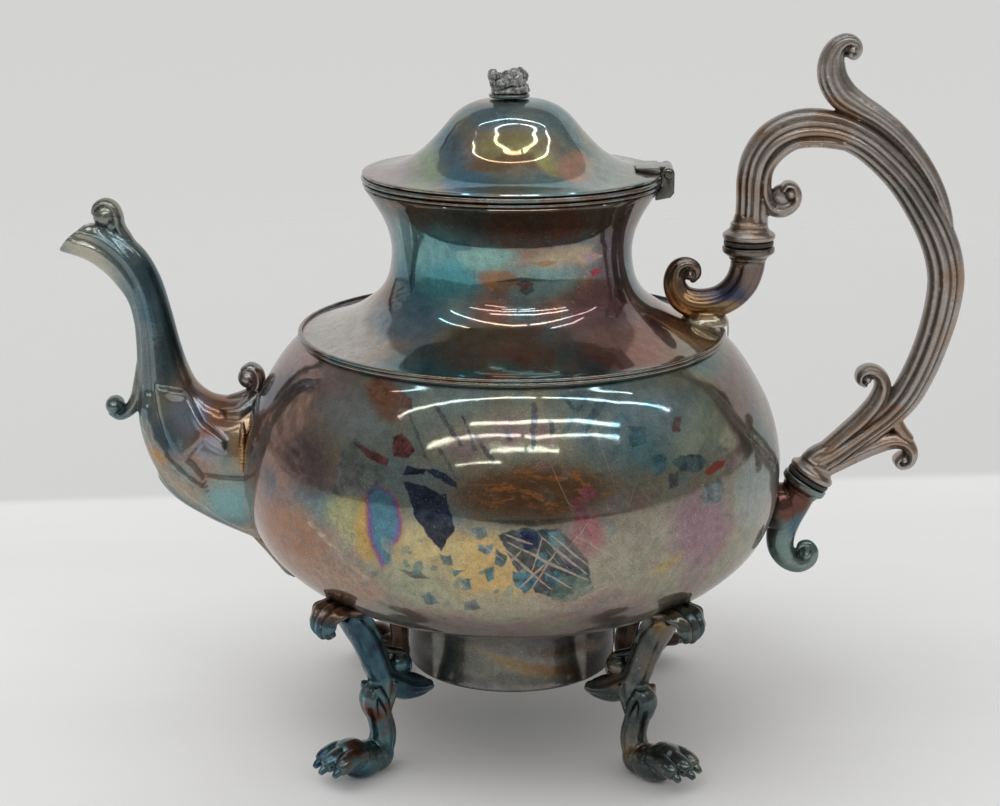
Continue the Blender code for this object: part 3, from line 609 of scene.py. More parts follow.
def build_spout():
    wall = spout_wall()
    displace(wall, spout_relief)
    parts = [
        wall,
        # scroll standing above the spout, behind its lip
        curl([(-121.8, 157.4, 2.4, 3), (-124.4, 164.4, 3.6, 5), (-127.6, 169.8, 4, 6.6),
              (-129.8, 174, 3.8, 7.6), (-130.2, 177.8, 3.3, 7.6), (-131.6, 180.8, 3, 7.6),
              (-134.4, 182, 2.8, 7.4), (-137, 180.9, 2.4, 7), (-138, 178.8, 2, 6.4)],
             groove_depth=0.05),
        blob(-134.1, 0, 177.5, 4.3, 5.5, 4.3),
        blob(-132.2, 0, 174.6, 2.8, 4, 2.8),
        # scroll on the outer side of the bend
        curl([(-120.4, 139, 2.4, 3), (-123.4, 130, 4.6, 6), (-124.9, 121.6, 5.4, 7.6),
              (-126.6, 115.2, 5.2, 8), (-129.6, 111, 4.4, 8), (-132.8, 109.4, 3.8, 7.8),
              (-135.2, 110.4, 3.2, 7.2)], groove_depth=0.06),
        blob(-134.4, 0, 112.7, 3.2, 5, 3.2),
        # scroll over the root
        curl([(-102, 111, 2.4, 4), (-96.4, 113.6, 4.6, 6.6), (-90.6, 115.6, 4.8, 7.8),
              (-86.4, 118.2, 4.2, 8), (-84.8, 121.6, 3.6, 8), (-85.4, 124.8, 3.2, 8),
              (-87.8, 126.4, 2.8, 7.6), (-90.2, 125.4, 2.3, 7)], groove_depth=0.06),
        blob(-88.7, 0, 122.7, 3.6, 5.3, 3.6),
        # loose tail of the lower leaf, curling off beneath the root
        curl([(-88, 67, 3, 5), (-82.4, 62.4, 5.4, 8), (-78.6, 58, 5.8, 8),
              (-76.6, 54.6, 4.6, 7), (-75, 52.8, 3, 5)], groove_depth=0.0)]
    # beads where the spout's root meets the belly
    for side in (-1, 1):
        for k in range(15):
            z = 95.0 + k * 1.12
            y = 16.9 - 0.020 * (z - 96.0) ** 2 * 0.55
            parts.append(blob(-88.9 - 0.12 * math.sin(k), side * y, z, 0.95, 0.9, 0.62, 8, 12))
    made = melt("spout_shell", parts)
    cut(made, spout_bore())
    cut(made, belly_body(0.06))
    shade(made.data, 50)
    return made


# ============================================================ handle and its sockets
# a collar holds an insulator at its centre; collar places are (x, z)
UPPER_COLLAR, UPPER_AXIS = (77.8, 169.8), (0, 1)
LOWER_COLLAR, LOWER_AXIS = (100.6, 89.1), (0.517, 0.856)
TIE_R = 1.8             # bore of the pins that tie handle, insulator and socket
INSULATOR_HALF = 0.8    # half thickness of an insulator


def along_lower(dist):
    """Point on the lower collar's axis."""
    return (LOWER_COLLAR[0] + LOWER_AXIS[0] * dist, LOWER_COLLAR[1] + LOWER_AXIS[1] * dist)


def upper_bore():
    x, z = UPPER_COLLAR
    return rod((x, 0, z - 8.6), (x, 0, z + 8.6), TIE_R, 32)


def lower_bore():
    (x0, z0), (x1, z1) = along_lower(-6.6), along_lower(6.6)
    return rod((x0, 0, z0), (x1, 0, z1), TIE_R, 32)


def turned(origin, axis, stops):
    """Round piece along an axis in the XZ plane, from (distance, radius) stops."""
    origin, axis = np.array((origin[0], 0.0, origin[1])), np.array((axis[0], 0.0, axis[1]))
    axis = axis / np.linalg.norm(axis)
    side = np.array((axis[2], 0.0, -axis[0]))
    return skin([[tuple(origin + axis * dist + side * (radius * math.cos(a))
                        + np.array((0, radius * math.sin(a), 0))) for a in turn(96)]
                 for dist, radius in stops])


def bead_stops(dist, radius, bead, start, end, steps=8):
    """Stops round a bead of a turned piece, between two angles in degrees."""
    return [(dist + bead * math.sin(math.radians(start + (end - start) * i / steps)),
             radius + bead * math.cos(math.radians(start + (end - start) * i / steps)))
            for i in range(steps + 1)]


def build_handle():
    main_path = [
        (78.5, 175.6, 10.8), (78.5, 178, 10.7), (78.6, 184, 10.8), (78.7, 191, 11),
        (80.3, 197.6, 11.4), (84.3, 203.2, 11.9), (90.6, 206.7, 12.3), (98, 207.7, 12.3),
        (105.6, 206.6, 11.4), (113.4, 203.1, 10.8), (121, 197.2, 10.9), (128, 190, 11.2),
        (133.8, 181.8, 11.6), (138.3, 174, 12), (141.5, 166, 12.2), (142.9, 158, 12.1),
        (142.3, 149, 11.8), (139.9, 138, 11.2), (136.1, 126.8, 10.9), (131.6, 117.8, 10.6),
        (126.2, 111.2, 9.6), (119.5, 105.6, 9.4), (113.2, 100.8, 10.2), (108, 97, 11.2),
        (*along_lower(6.4), 11.6), (*along_lower(3.4), 11.6)]
    parts = [
        strand([(*point, min(point[2], 11.4)) for point in main_path], steps=9, count=72,
               section=grooved((57, 82, 121), depth=0.15, width=7.5, crest=0.035),
               ends=(False, False)),
        # reed along the inside of the top bend, ending in a volute with its eye and web
        curl([(119, 197.6, 1.8, 3), (112, 200.6, 3.2, 6.2), (105, 202.6, 4.2, 9),
              (98, 203.4, 4.6, 10), (91.4, 202.6, 4.8, 10.2), (86.2, 199, 4.8), (83, 194.4, 4.8),
              (82.2, 189.2, 4.8), (82.8, 184.6, 5), (85.2, 181.2, 5.2), (88.8, 180.8, 5),
              (91.8, 182.8, 4.4), (92.7, 185.8, 3.8), (91.6, 188.4, 3), (89.4, 188.9, 2.5),
              (88.2, 187.4, 2.1)], steps=9, depth=10.2, grooves=(60, 120), width=14),
        blob(90.5, 0, 186.2, 2.3, 5.9, 2.3),
        blob(88.4, 0, 185.2, 4.2, 3.8, 4),
        # scroll that rises over the handle's top, and its eye
        curl([(139.6, 158, 2, 3), (142.6, 167.6, 3.4, 5.6), (141.9, 176.6, 4.6, 7.6),
              (138.2, 187.4, 5.4, 8.4), (131.7, 197.8, 6.2), (124.6, 205.6, 6.8),
              (117.6, 211, 7.4), (111.4, 214.6, 8.6), (106.2, 218.2, 10), (103.2, 222.8, 9.8),
              (102.3, 227.4, 9), (102.9, 231.4, 7.4), (104.9, 234.2, 6), (107.4, 235.3, 4.8),
              (109.7, 234.4, 3.8), (110.5, 232.2, 3.1), (109.3, 230.4, 2.6), (107.6, 230.9, 2.1)],
             steps=9, count=56, depth=8.6, grooves=(50, 88, 126), groove_depth=0.09, width=10),
        blob(108.4, 0, 232.6, 1.8, 5.2, 1.8),
        # scroll inside the lower bend, and its eye
        curl([(99.8, 93.6, 5), (105.6, 98.6, 5.6), (112.4, 104.8, 6.2), (118.4, 110.6, 6.8),
              (122.6, 116.4, 6.6), (124, 121.4, 5.8), (122.6, 125.2, 5), (119.4, 126.9, 4.3),
              (116.6, 125.8, 3.5), (116.2, 123.4, 2.7), (117.8, 122.2, 2.2)],
             steps=9, depth=9.4, grooves=(60, 120), width=14),
        blob(118.4, 0, 124.2, 1.8, 5.4, 1.8),
        # scroll outside the lower bend, and its eye
        curl([(104.6, 91.2, 5), (110.6, 94.6, 5.6), (116.8, 98, 6), (123, 101, 6.4),
              (128.8, 102.7, 6.2), (133, 101.3, 5.2), (134.9, 98, 4.3), (133.9, 94.9, 3.7),
              (131.4, 94, 3.1), (129.9, 95.5, 2.5), (130.9, 97, 2)],
             steps=9, depth=9.0, grooves=(60, 120), width=14),
        blob(132, 0, 96.6, 1.9, 5.2, 1.9),
        # leaf joining that scroll to the bend
        curl([(127.4, 116, 4), (128.2, 110.4, 5), (130.6, 106.4, 4.6), (133.6, 103.4, 3.4)],
             depth=7.6, grooves=(90,), groove_depth=0.08, width=16),
        # ferrules
        turned(UPPER_COLLAR, UPPER_AXIS,
               [(1.15, 8.15), (1.25, 8.45), *bead_stops(2.3, 7.55, 1.15, -60, 75), (3.75, 7.55),
                (4.2, 6.7), (5.4, 6.1), *bead_stops(6.0, 5.5, 0.75, -50, 80, 6), (7.4, 5.3),
                (9, 4.9)]),
        turned(LOWER_COLLAR, LOWER_AXIS,
               [(1.15, 7.5), (1.25, 7.75), *bead_stops(2.2, 6.9, 1.05, -60, 75), (3.5, 6.9),
                (4, 6.3), (5.2, 5.9), *bead_stops(5.8, 5.4, 0.7, -50, 80, 6), (7.2, 5.4),
                (8.6, 5)])]
    made = melt("handle_scroll", parts)
    cut(made, upper_bore(), lower_bore())
    return made


def build_upper_socket():
    pad = lathe([(0, 138), (8.2, 138), (8.2, 143.2), (7.4, 144.6), (5.6, 146.4), (4.6, 148),
                 (0, 149)], segs=64, x0=64.0, sharp=0)
    for vertex in pad.vertices:
        vertex.co.y *= 0.82
    made = melt("upper_socket_scroll", [
        curl([(UPPER_COLLAR[0], 166.4, 11.6), (77.8, 163.6, 11.4), (77.4, 160.6, 11.2),
              (76, 156.6, 11), (73.2, 153, 10.6), (69.4, 150.4, 10.3), (65, 149.2, 10.1),
              (60.4, 149.2, 10), (56.6, 150.9, 9.2), (54.3, 154.2, 8), (53.7, 158, 6.9),
              (54.9, 161.2, 5.8), (57.6, 162.4, 4.8), (60.4, 161.4, 3.8), (61.1, 159, 3),
              (59.9, 157.2, 2.4)],
             steps=9, count=64, grooves=(58, 122), groove_depth=0.11, width=17,
             ends=(False, True)),
        blob(58.6, 0, 159.2, 2.1, 4.6, 2.1),
        pad,
        turned(UPPER_COLLAR, (0, -1),
               [(1.15, 8.1), (1.3, 8.5), (1.5, 8.6), (2.9, 8.6), (3.15, 8.45), (3.5, 8),
                (4.4, 6.9), *bead_stops(5.0, 5.6, 0.75, -40, 80, 6), (6.4, 5.4), (7.4, 5.2)])],
        voxel=0.28)
    cut(made, upper_bore())
    cut(made, neck_body(0.08))
    return made


def build_lower_socket():
    made = melt("lower_socket_scroll", [
        curl([(*along_lower(-3.6), 12.2), (*along_lower(-6.0), 12), (95.4, 79.4, 11.6),
              (93.5, 74.4, 10.6), (92.1, 69.2, 10), (92.3, 64, 9), (94.8, 60, 7.8),
              (98.6, 58.2, 6.4), (102, 59.6, 5.3), (103, 62.6, 4.3), (101.4, 65, 3.4),
              (99.2, 64.8, 2.8), (98.6, 63.2, 2.2)],
             steps=9, count=64, groove_depth=0.0, ends=(False, True)),
        blob(100.5, 0, 62.2, 2.3, 4.8, 2.3),
        blob(91.2, 0, 78.4, 6.4, 7.4, 8.6, 24, 40),
        turned(LOWER_COLLAR, (-LOWER_AXIS[0], -LOWER_AXIS[1]),
               [(1.15, 7.5), (1.3, 7.9), (1.5, 7.95), (3.1, 7.95), (3.4, 7.8), (3.8, 7.4),
                (4.6, 6.6), *bead_stops(5.2, 5.7, 0.7, -40, 80, 6), (6.6, 5.6), (7.6, 5.4)])],
        voxel=0.28)
    cut(made, lower_bore())
    cut(made, belly_body(0.08))
    return made


def build_insulator(name, collar, axis, edge, middle, crown, bore):
    """Washer with a crowned edge; the radii run from its faces to its middle."""
    half = INSULATOR_HALF
    made = add_object(name, turned(collar, axis, [
        (-half, 1.9), (-half, edge), (-0.6, middle), (0, crown), (0.6, middle), (half, edge),
        (half, 1.9)]))
    cut(made, bore)
    return made


# ============================================================ feet
FOOT_AZIMUTHS = {"front_left": -135, "front_right": -45, "rear_left": 135, "rear_right": 45}


def foot_leaf():
    """Leaf that lies up the belly and rolls outwards at its tip."""
    spine = smooth_line([(64.4, 47), (67.2, 52.2), (71, 57.2), (75.4, 60.4), (79.6, 60.8),
                         (82.6, 58.9), (83.4, 56.2), (82, 54.2), (80, 54.6)], 12)
    half_widths = smooth_line([(0, 4.4), (1, 5.8), (2, 7.4), (3, 8.2), (4, 8), (5, 7), (6, 5.8),
                               (7, 4.6), (8, 3.2)], 12)[:, 1]
    normals = -left_of(tangents(spine))
    columns = 29
    rows = []
    for i, (point, normal) in enumerate(zip(spine, normals)):
        u = i / (len(spine) - 1)
        half = half_widths[i] * (1 + 0.07 * math.cos(u * 34))
        outer, inner = [], []
        for j in range(columns):
            v = -1 + 2 * j / (columns - 1)
            wrap = 2.4 * (v * v) * (1 - u) ** 0.6
            # reeds fan along the leaf, and its edge is rounded
            ridge = 0.55 * math.cos(v * 12.0) * (1 - v * v)
            thick = 3.5 * math.sqrt(max(0.0, 1 - v * v)) + 0.3
            for row, place in ((outer, point - normal * (ridge + thick * 0.5)),
                               (inner, point + normal * thick * 0.5)):
                row.append((place[0] - wrap * 0.9, v * half, place[1] + wrap * 0.35))
        rows.append(outer + inner[::-1])
    return skin(rows)


def foot_mesh():
    """Foot in its own radial plane: x is the distance from the pot's axis."""
    leg_section = grooved((62, 118), depth=0.12, width=15)
    parts = [
        foot_leaf(),
        # leg from under the leaf down to the heel
        strand([(72.4, 57, 6.6, 12.6), (68.6, 52.8, 9.2, 12), (65.2, 47.8, 10, 10.4),
                (62.8, 42.6, 9.8, 9.6), (60.8, 37.2, 9.4, 9.2), (59, 32.2, 8.8, 9.4),
                (59.8, 27, 9.4, 9.8), (60.8, 22.4, 8.8, 8.8), (59.6, 17.6, 8.6, 8.2),
                (58.6, 13, 9, 8.6), (59.6, 8.4, 9.6, 9.4), (63, 5.4, 9.2, 10.4)],
               section=leg_section),
        # reed down the outer edge of the leg
        strand([(71.6, 51.6, 2.6, 3.6), (68.8, 46.6, 2.8, 3.8), (66.4, 41.4, 2.6, 3.6),
                (64.2, 36.6, 2.2, 3.2), (62.6, 33, 1.8, 2.6)]),
        # outer spur at the knee, the rounded end of a leaf
        strand([(62, 17.6, 2.6, 5), (63.8, 21.4, 3.6, 7), (64.7, 25.6, 3.9, 8.2),
                (63.8, 28.6, 3.6, 7.6), (61.4, 30, 2.8, 6)])]
    # calyx points that fall from the knee
    for s in (-1, 1):
        parts.append(round_bar([(63.4, 3.4 * s, 30.6, 1.2), (62.2, 4.5 * s, 27.2, 1.3),
                                (60.6, 4.6 * s, 23.4, 1.1), (59.6, 3.9 * s, 19.4, 0.7)]))
        parts.append(round_bar([(56.6, 4.3 * s, 31, 1.1), (58, 4.9 * s, 27.4, 1.2),
                                (59, 4.6 * s, 23.4, 0.9), (59.4, 3.9 * s, 19.8, 0.6)]))
    parts += [
        # arm that reaches in and down towards the base
        strand([(58.6, 33, 8, 8.8), (54.2, 29.8, 9.4, 9.4), (49.8, 26.8, 9.8, 9.2),
                (45.4, 25.2, 8.8, 8.4), (41.6, 24.1, 6.6, 7.2), (38.8, 23.5, 4.2, 5.4)],
               section=leg_section),
        # round knob above the arm, and the thin strand that arches over it
        blob(51.8, 0, 35.6, 3.9, 4.6, 3.7, 18, 28),
        strand([(60, 43.4, 2.8, 6), (56.4, 41.4, 2.8, 6.2), (52.8, 39.9, 2.4, 5.8),
                (49.6, 38.2, 2.1, 5.2), (47.7, 35, 1.9, 4.6), (47.6, 32, 1.8, 4.2)]),
        # heel and pad of the paw
        blob(61.4, 0, 5.4, 6, 5.4, 5.6, 18, 28),
        blob(67.4, 0, 5.6, 8.4, 6.2, 6, 22, 32),
        blob(72.6, 0, 8.6, 6.4, 6.2, 5.6, 22, 32)]
    # three rounded toes that lift off the table, each with a claw
    for y0, y1, size in ((-4.0, -4.9, 0.94), (0.0, 0.0, 1.0), (4.0, 4.9, 0.94)):
        back = abs(y1) * 0.35
        parts.append(round_bar([
            (69.6, y0 * 0.8, 8.8, 2.6), (74.2, y0, 9.8, 3.2 * size),
            (78.2 - back, (y0 + y1) / 2, 9.4, 3.2 * size), (81.4 - back, y1, 8.4, 2.9 * size),
            (83.0 - back, y1, 7.6, 2.3 * size)], steps=7))
        parts.append(round_bar([(82.2 - back, y1, 7.8, 1.6), (84.2 - back, y1 * 1.02, 6.9, 1.3),
                                (85.4 - back, y1 * 1.03, 6.0, 0.8)]))
    form = melt("foot_form", parts)
    # flat under the foot, and fitted to the belly
    cut(form, prism([(30, -9), (110, -9), (110, 0), (30, 0)], -30, 30))
    cut(form, belly_body(0.06))
    mesh = form.data
    bpy.data.objects.remove(form, do_unlink=True)
    shade(mesh, 55)
    return mesh


def build_feet():
    pattern = foot_mesh()
    feet = {}
    for corner, azimuth in FOOT_AZIMUTHS.items():
        mesh = pattern.copy()
        mesh.transform(Matrix.Rotation(math.radians(azimuth), 4, 'Z'))
        feet[corner] = add_object("paw_foot_" + corner, mesh)
    return feet


# ============================================================ broken finial
def stub_roughness(points):
    out = np.empty(len(points))
    for i, point in enumerate(points):
        v = Vector(point)
        coarse = noise.fractal(v * 0.42, 1.0, 2.0, 4)
        fine = noise.noise(v * 1.7)
        # a torn seam runs round the stub, higher at the +X side
        seam = abs(point[2] - (220.6 + 0.16 * (point[0] - FINIAL_X) + 0.7 * noise.noise(v * 0.5)))
        out[i] = 0.55 * coarse + 0.20 * fine - 0.75 * math.exp(-(seam / 0.45) ** 2) * (
            0.5 + 0.5 * noise.noise(v * 0.3 + Vector((3, 1, 7))) + 0.3)
    return np.where(points[:, 2] < 219.0, np.clip(out, -0.3, 0.1), out)


def build_stub():
    rings = []
    for i in range(30):
        t = i / 29
        base_r = np.interp(t, (0, 0.08, 0.35, 0.7, 0.88, 1.0), (6.2, 6.35, 6.2, 5.9, 5.3, 3.9))
        ring = []
        for a in turn(72):
            radius = base_r * (1 + 0.035 * math.cos(3 * a + 5 * t)
                               + 0.03 * math.sin(5 * a - 3 * t))
            crest = 224.6 + 0.9 * math.cos(a - 0.4) - 0.7 * math.cos(3 * a + 1.0)
            ring.append((FINIAL_X + radius * math.cos(a), radius * math.sin(a),
                         218.6 + (crest - 218.6) * t))
        rings.append(ring)
    made = melt("finial_break", [
        skin(rings),
        blob(FINIAL_X - 5.0, -1.6, 223.8, 1.7, 1.9, 2.3, 10, 14),
        blob(FINIAL_X + 2.6, -1.0, 224.0, 3.6, 3.4, 2.6, 12, 18),
        blob(FINIAL_X + 0.4, 3.0, 223.6, 3.0, 2.6, 2.0, 12, 18),
        blob(FINIAL_X - 1.2, -4.2, 221.6, 3.6, 2.0, 1.4, 12, 18)],
        voxel=0.22, passes=2, factor=0.4)
    displace(made.data, stub_roughness)
    cut(made, prism([(-20, 210), (20, 210), (20, 218.5), (-20, 218.5)], -20, 20))
    cut(made, rod((FINIAL_X, 0, 206.0), (FINIAL_X, 0, 221.6), 1.7, 24))
    return made


# ============================================================ hinge
HINGE_X, HINGE_Z = 50.6, 193.4
KNUCKLE_R, PINHOLE_R, HINGE_HALF = 2.0, 1.2, 8.0
# (y, radius) of the pin with its two rivet heads
PIN_STOPS = [
    (-9, 0.7), (-8.95, 1.15), (-8.8, 1.45), (-8.6, 1.6), (-8.4, 1.62), (-8.35, 1.55),
    (-8.35, 0.9), (8.35, 0.9), (8.35, 1.55), (8.4, 1.62), (8.6, 1.6), (8.8, 1.45),
    (8.95, 1.15), (9, 0.7)]


def pinhole():
    return rod((HINGE_X, -12, HINGE_Z), (HINGE_X, 12, HINGE_Z), PINHOLE_R, 40)


def hinge_leaf(name, start, sweep, corners, *cutters):
    """Leaf that wraps the knuckle through an arc in degrees, then runs through its corners."""
    arc = [(HINGE_X + KNUCKLE_R * math.cos(math.radians(start + sweep * i / 28)),
            HINGE_Z + KNUCKLE_R * math.sin(math.radians(start + sweep * i / 28)))
           for i in range(29)]
    made = add_object(name, prism(arc + corners, -HINGE_HALF, HINGE_HALF))
    cut(made, *cutters)
    bevel = made.modifiers.new("edge", 'BEVEL')
    bevel.width = 0.12 * MM
    bevel.segments = 3
    bevel.limit_method = 'ANGLE'
    bevel.angle_limit = math.radians(38)
    bevel.harden_normals = False
    settle(made)
    shade(made.data, 40)
    return made


def build_bracket():
    gap = [(47, 190.9), (54, 190.9), (54, 197), (47, 197)]
    return hinge_leaf(
        "hinge_leaf_body", 0.0, 180.0,
        [(48.6, 190.9), (46.6, 188), (46.6, 184.8), (51.4, 185.7), (52.6, 187.2)],
        prism(gap, -5.15, 5.15), pinhole(), neck_body(0.08))


def build_strap():
    side = [(47.7, 190), (55, 190), (55, 197), (47.7, 197)]
    return hinge_leaf(
        "hinge_leaf_lid", 90.0, -270.0,
        [(48.3, 194.1), (44.6, 194.3), (40.2, 194.9), (40.2, 195.3)],
        prism(side, -12, -4.8), prism(side, 4.8, 12), pinhole())


def build_hinge_pin():
    return add_object("hinge_rivet", skin(
        [[(HINGE_X + radius * math.cos(a), y, HINGE_Z + radius * math.sin(a)) for a in turn(40)]
         for y, radius in PIN_STOPS], sharp=45))


# ============================================================ node graph notation
class Signal:
    """A socket that can be used in arithmetic."""

    def __init__(self, graph, sock):
        self.graph, self.sock = graph, sock

    def __add__(self, other): return self.graph.math('ADD', self, other)
    def __sub__(self, other): return self.graph.math('SUBTRACT', self, other)
    def __rsub__(self, other): return self.graph.math('SUBTRACT', other, self)
    def __mul__(self, other): return self.graph.math('MULTIPLY', self, other)
    def __rmul__(self, other): return self.graph.math('MULTIPLY', self, other)
    def __truediv__(self, other): return self.graph.math('DIVIDE', self, other)
    def __gt__(self, other): return self.graph.math('GREATER_THAN', self, other)
    def abs(self): return self.graph.math('ABSOLUTE', self)
    def min(self, other): return self.graph.math('MINIMUM', self, other)
    def max(self, other): return self.graph.math('MAXIMUM', self, other)


class Graph:
    """Short notation for building a node tree."""

    def __init__(self, tree):
        self.tree = tree
        tree.nodes.clear()

    def node(self, kind, inputs=None, **props):
        made = self.tree.nodes.new(kind)
        for name, value in props.items():
            setattr(made, name, value)
        for key, value in (inputs or {}).items():
            self.put(made.inputs[key], value)
        return made

    def put(self, sock, value):
        if isinstance(value, Signal):
            self.tree.links.new(value.sock, sock)
        elif value is not None:
            if isinstance(value, tuple) and len(value) < len(sock.default_value):
                value = (*value, 1.0)
            sock.default_value = value

    def out(self, node, key=0):
        return Signal(self, node.outputs[key])

    def math(self, operation, a, b=None):
        return self.out(self.node('ShaderNodeMath', {0: a, 1: b}, operation=operation))

    def vmath(self, operation, a, b=None, key=0):
        return self.out(self.node('ShaderNodeVectorMath', {0: a, 1: b}, operation=operation), key)

    def scale(self, vector, factor):
        return self.out(self.node('ShaderNodeVectorMath', {0: vector, 'Scale': factor},
                                  operation='SCALE'))

    def remap(self, value, start, end, low=0.0, high=1.0, kind='LINEAR'):
        """low at start, high at end, and level beyond them."""
        return self.out(self.node('ShaderNodeMapRange',
                                  {0: value, 1: start, 2: end, 3: low, 4: high},
                                  interpolation_type=kind))

    def ease(self, value, start, end, low=0.0, high=1.0):
        return self.remap(value, start, end, low, high, 'SMOOTHSTEP')

    def split(self, vector):
        made = self.node('ShaderNodeSeparateXYZ', {0: vector})
        return [self.out(made, i) for i in range(3)]

    def join(self, x, y, z):
        return self.out(self.node('ShaderNodeCombineXYZ', {0: x, 1: y, 2: z}))

    def noise(self, p, scale, detail=4.0, rough=0.6, key=0):
        return self.out(self.node('ShaderNodeTexNoise', {
            'Vector': p, 'Scale': scale, 'Detail': detail, 'Roughness': rough}), key)

    def cells(self, p, scale):
        """Distance to the nearest cell point, and the parts of the cell's random colour."""
        made = self.node('ShaderNodeTexVoronoi', {'Vector': p, 'Scale': scale}, feature='F1')
        return self.out(made, 0), self.split(self.out(made, 1))

    def mapped(self, p, loc=(0, 0, 0), rot=(0, 0, 0), size=(1, 1, 1), kind='TEXTURE'):
        return self.out(self.node('ShaderNodeMapping', {0: p, 1: loc, 2: rot, 3: size},
                                  vector_type=kind))

    def warped(self, p, scale, amount, detail=3.0):
        """Coordinates pushed about by noise."""
        push = self.noise(p, scale, detail, rough=0.55, key=1)
        push = self.scale(self.vmath('SUBTRACT', push, (0.5, 0.5, 0.5)), amount)
        return self.vmath('ADD', p, push)

    def blob(self, p, centre, half_sizes, tilt, soft):
        """1 inside an ellipsoid turned by tilt degrees about Y, falling to 0 past its edge."""
        local = self.mapped(p, centre, (0, math.radians(tilt), 0), half_sizes)
        return self.ease(self.vmath('LENGTH', local, key=1), 1.0 + soft, 1.0 - soft)

    def outline(self, p, corners, soft=0.16):
        """1 inside a convex outline drawn in the XZ plane."""
        cx = sum(c[0] for c in corners) / len(corners)
        cz = sum(c[1] for c in corners) / len(corners)
        inside = None
        for (x0, z0), (x1, z1) in zip(corners, corners[1:] + corners[:1]):
            nx, nz = z1 - z0, x0 - x1
            length = math.hypot(nx, nz)
            if (cx - x0) * nx + (cz - z0) * nz < 0:
                length = -length
            nx, nz = nx / length, nz / length
            edge = self.vmath('DOT_PRODUCT', p, (nx, 0.0, nz), key=1) - (x0 * nx + z0 * nz)
            inside = edge if inside is None else inside.min(edge)
        return self.remap(inside, -soft, soft)

    def ramp(self, factor, stops):
        """Colour ramp over (place, colour) stops."""
        made = self.node('ShaderNodeValToRGB', {0: factor})
        elements = made.color_ramp.elements
        while len(elements) < len(stops):
            elements.new(0.5)
        for element, (place, colour) in zip(elements, stops):
            element.position = place
            element.color = (*colour, 1.0)
        return self.out(made)

    def mix(self, factor, a, b, mode='MIX'):
        """Mix two colours."""
        return self.out(self.node('ShaderNodeMix', {0: factor, 6: a, 7: b}, data_type='RGBA',
                                  blend_type=mode), 2)

    def tinted(self, colour, value):
        """Colour multiplied by a plain value."""
        return self.mix(1.0, colour, self.join(value, value, value), 'MULTIPLY')

    def mix_value(self, factor, a, b):
        return self.out(self.node('ShaderNodeMix', {0: factor, 2: a, 3: b}, data_type='FLOAT'))

    def bump(self, height, strength, distance, normal=None):
        return self.out(self.node('ShaderNodeBump', {
            'Strength': strength, 'Distance': distance, 'Height': height, 'Normal': normal}))

    def metal(self, colour, rough, normal, metallic=1.0):
        return self.out(self.node('ShaderNodeBsdfPrincipled', {
            'Base Color': colour, 'Metallic': metallic, 'Roughness': rough, 'Normal': normal}))

    def mix_shader(self, factor, a, b):
        return self.out(self.node('ShaderNodeMixShader', {0: factor, 1: a, 2: b}))

    def patches(self, p, colour, depth, rows):
        """Soft ellipsoids of colour, each reaching depth either way along Y.

        Columns: centre x, y, z, half sizes in x and z, tilt, edge softness, colour, amount.
        """
        for x, y, z, half_x, half_z, tilt, soft, tone, amount in rows:
            mask = self.blob(p, (x, y, z), (half_x, depth, half_z), tilt, soft)
            colour = self.mix(mask * amount, colour, tone)
        return colour


def new_material(name):
    """A material, its graph and the object coordinates in millimetres."""
    mat = bpy.data.materials.new(name)
    mat.use_nodes = True
    g = Graph(mat.node_tree)
    coords = g.node('ShaderNodeTexCoord')
    return mat, g, g.scale(g.out(coords, 'Object'), 1000.0)


def finish_material(g, shader):
    g.node('ShaderNodeOutputMaterial', {'Surface': shader})


def scratches(g, p, scale, seed):
    """Fine wiping marks: thin streaks in several directions; 1 on a scratch."""
    total = None
    # rotation, length and noise threshold of each direction
    for k, (rot, length, start) in enumerate((
            ((0.3, 0.9, 0.2), 34.0, 0.70), ((0.1, -0.6, 0.5), 40.0, 0.715),
            ((0.6, 0.2, 1.1), 28.0, 0.70), ((1.2, 0.4, 0.2), 36.0, 0.71))):
        local = g.mapped(p, (seed + 13.7 * k, 5.1 * k, 3.3 * k), rot,
                         (length / scale, 0.55 / scale, 0.55 / scale))
        streak = g.remap(g.noise(local, scale=1.0, detail=2, rough=0.5), start, start + 0.05)
        total = streak if total is None else total.max(streak)
    return total


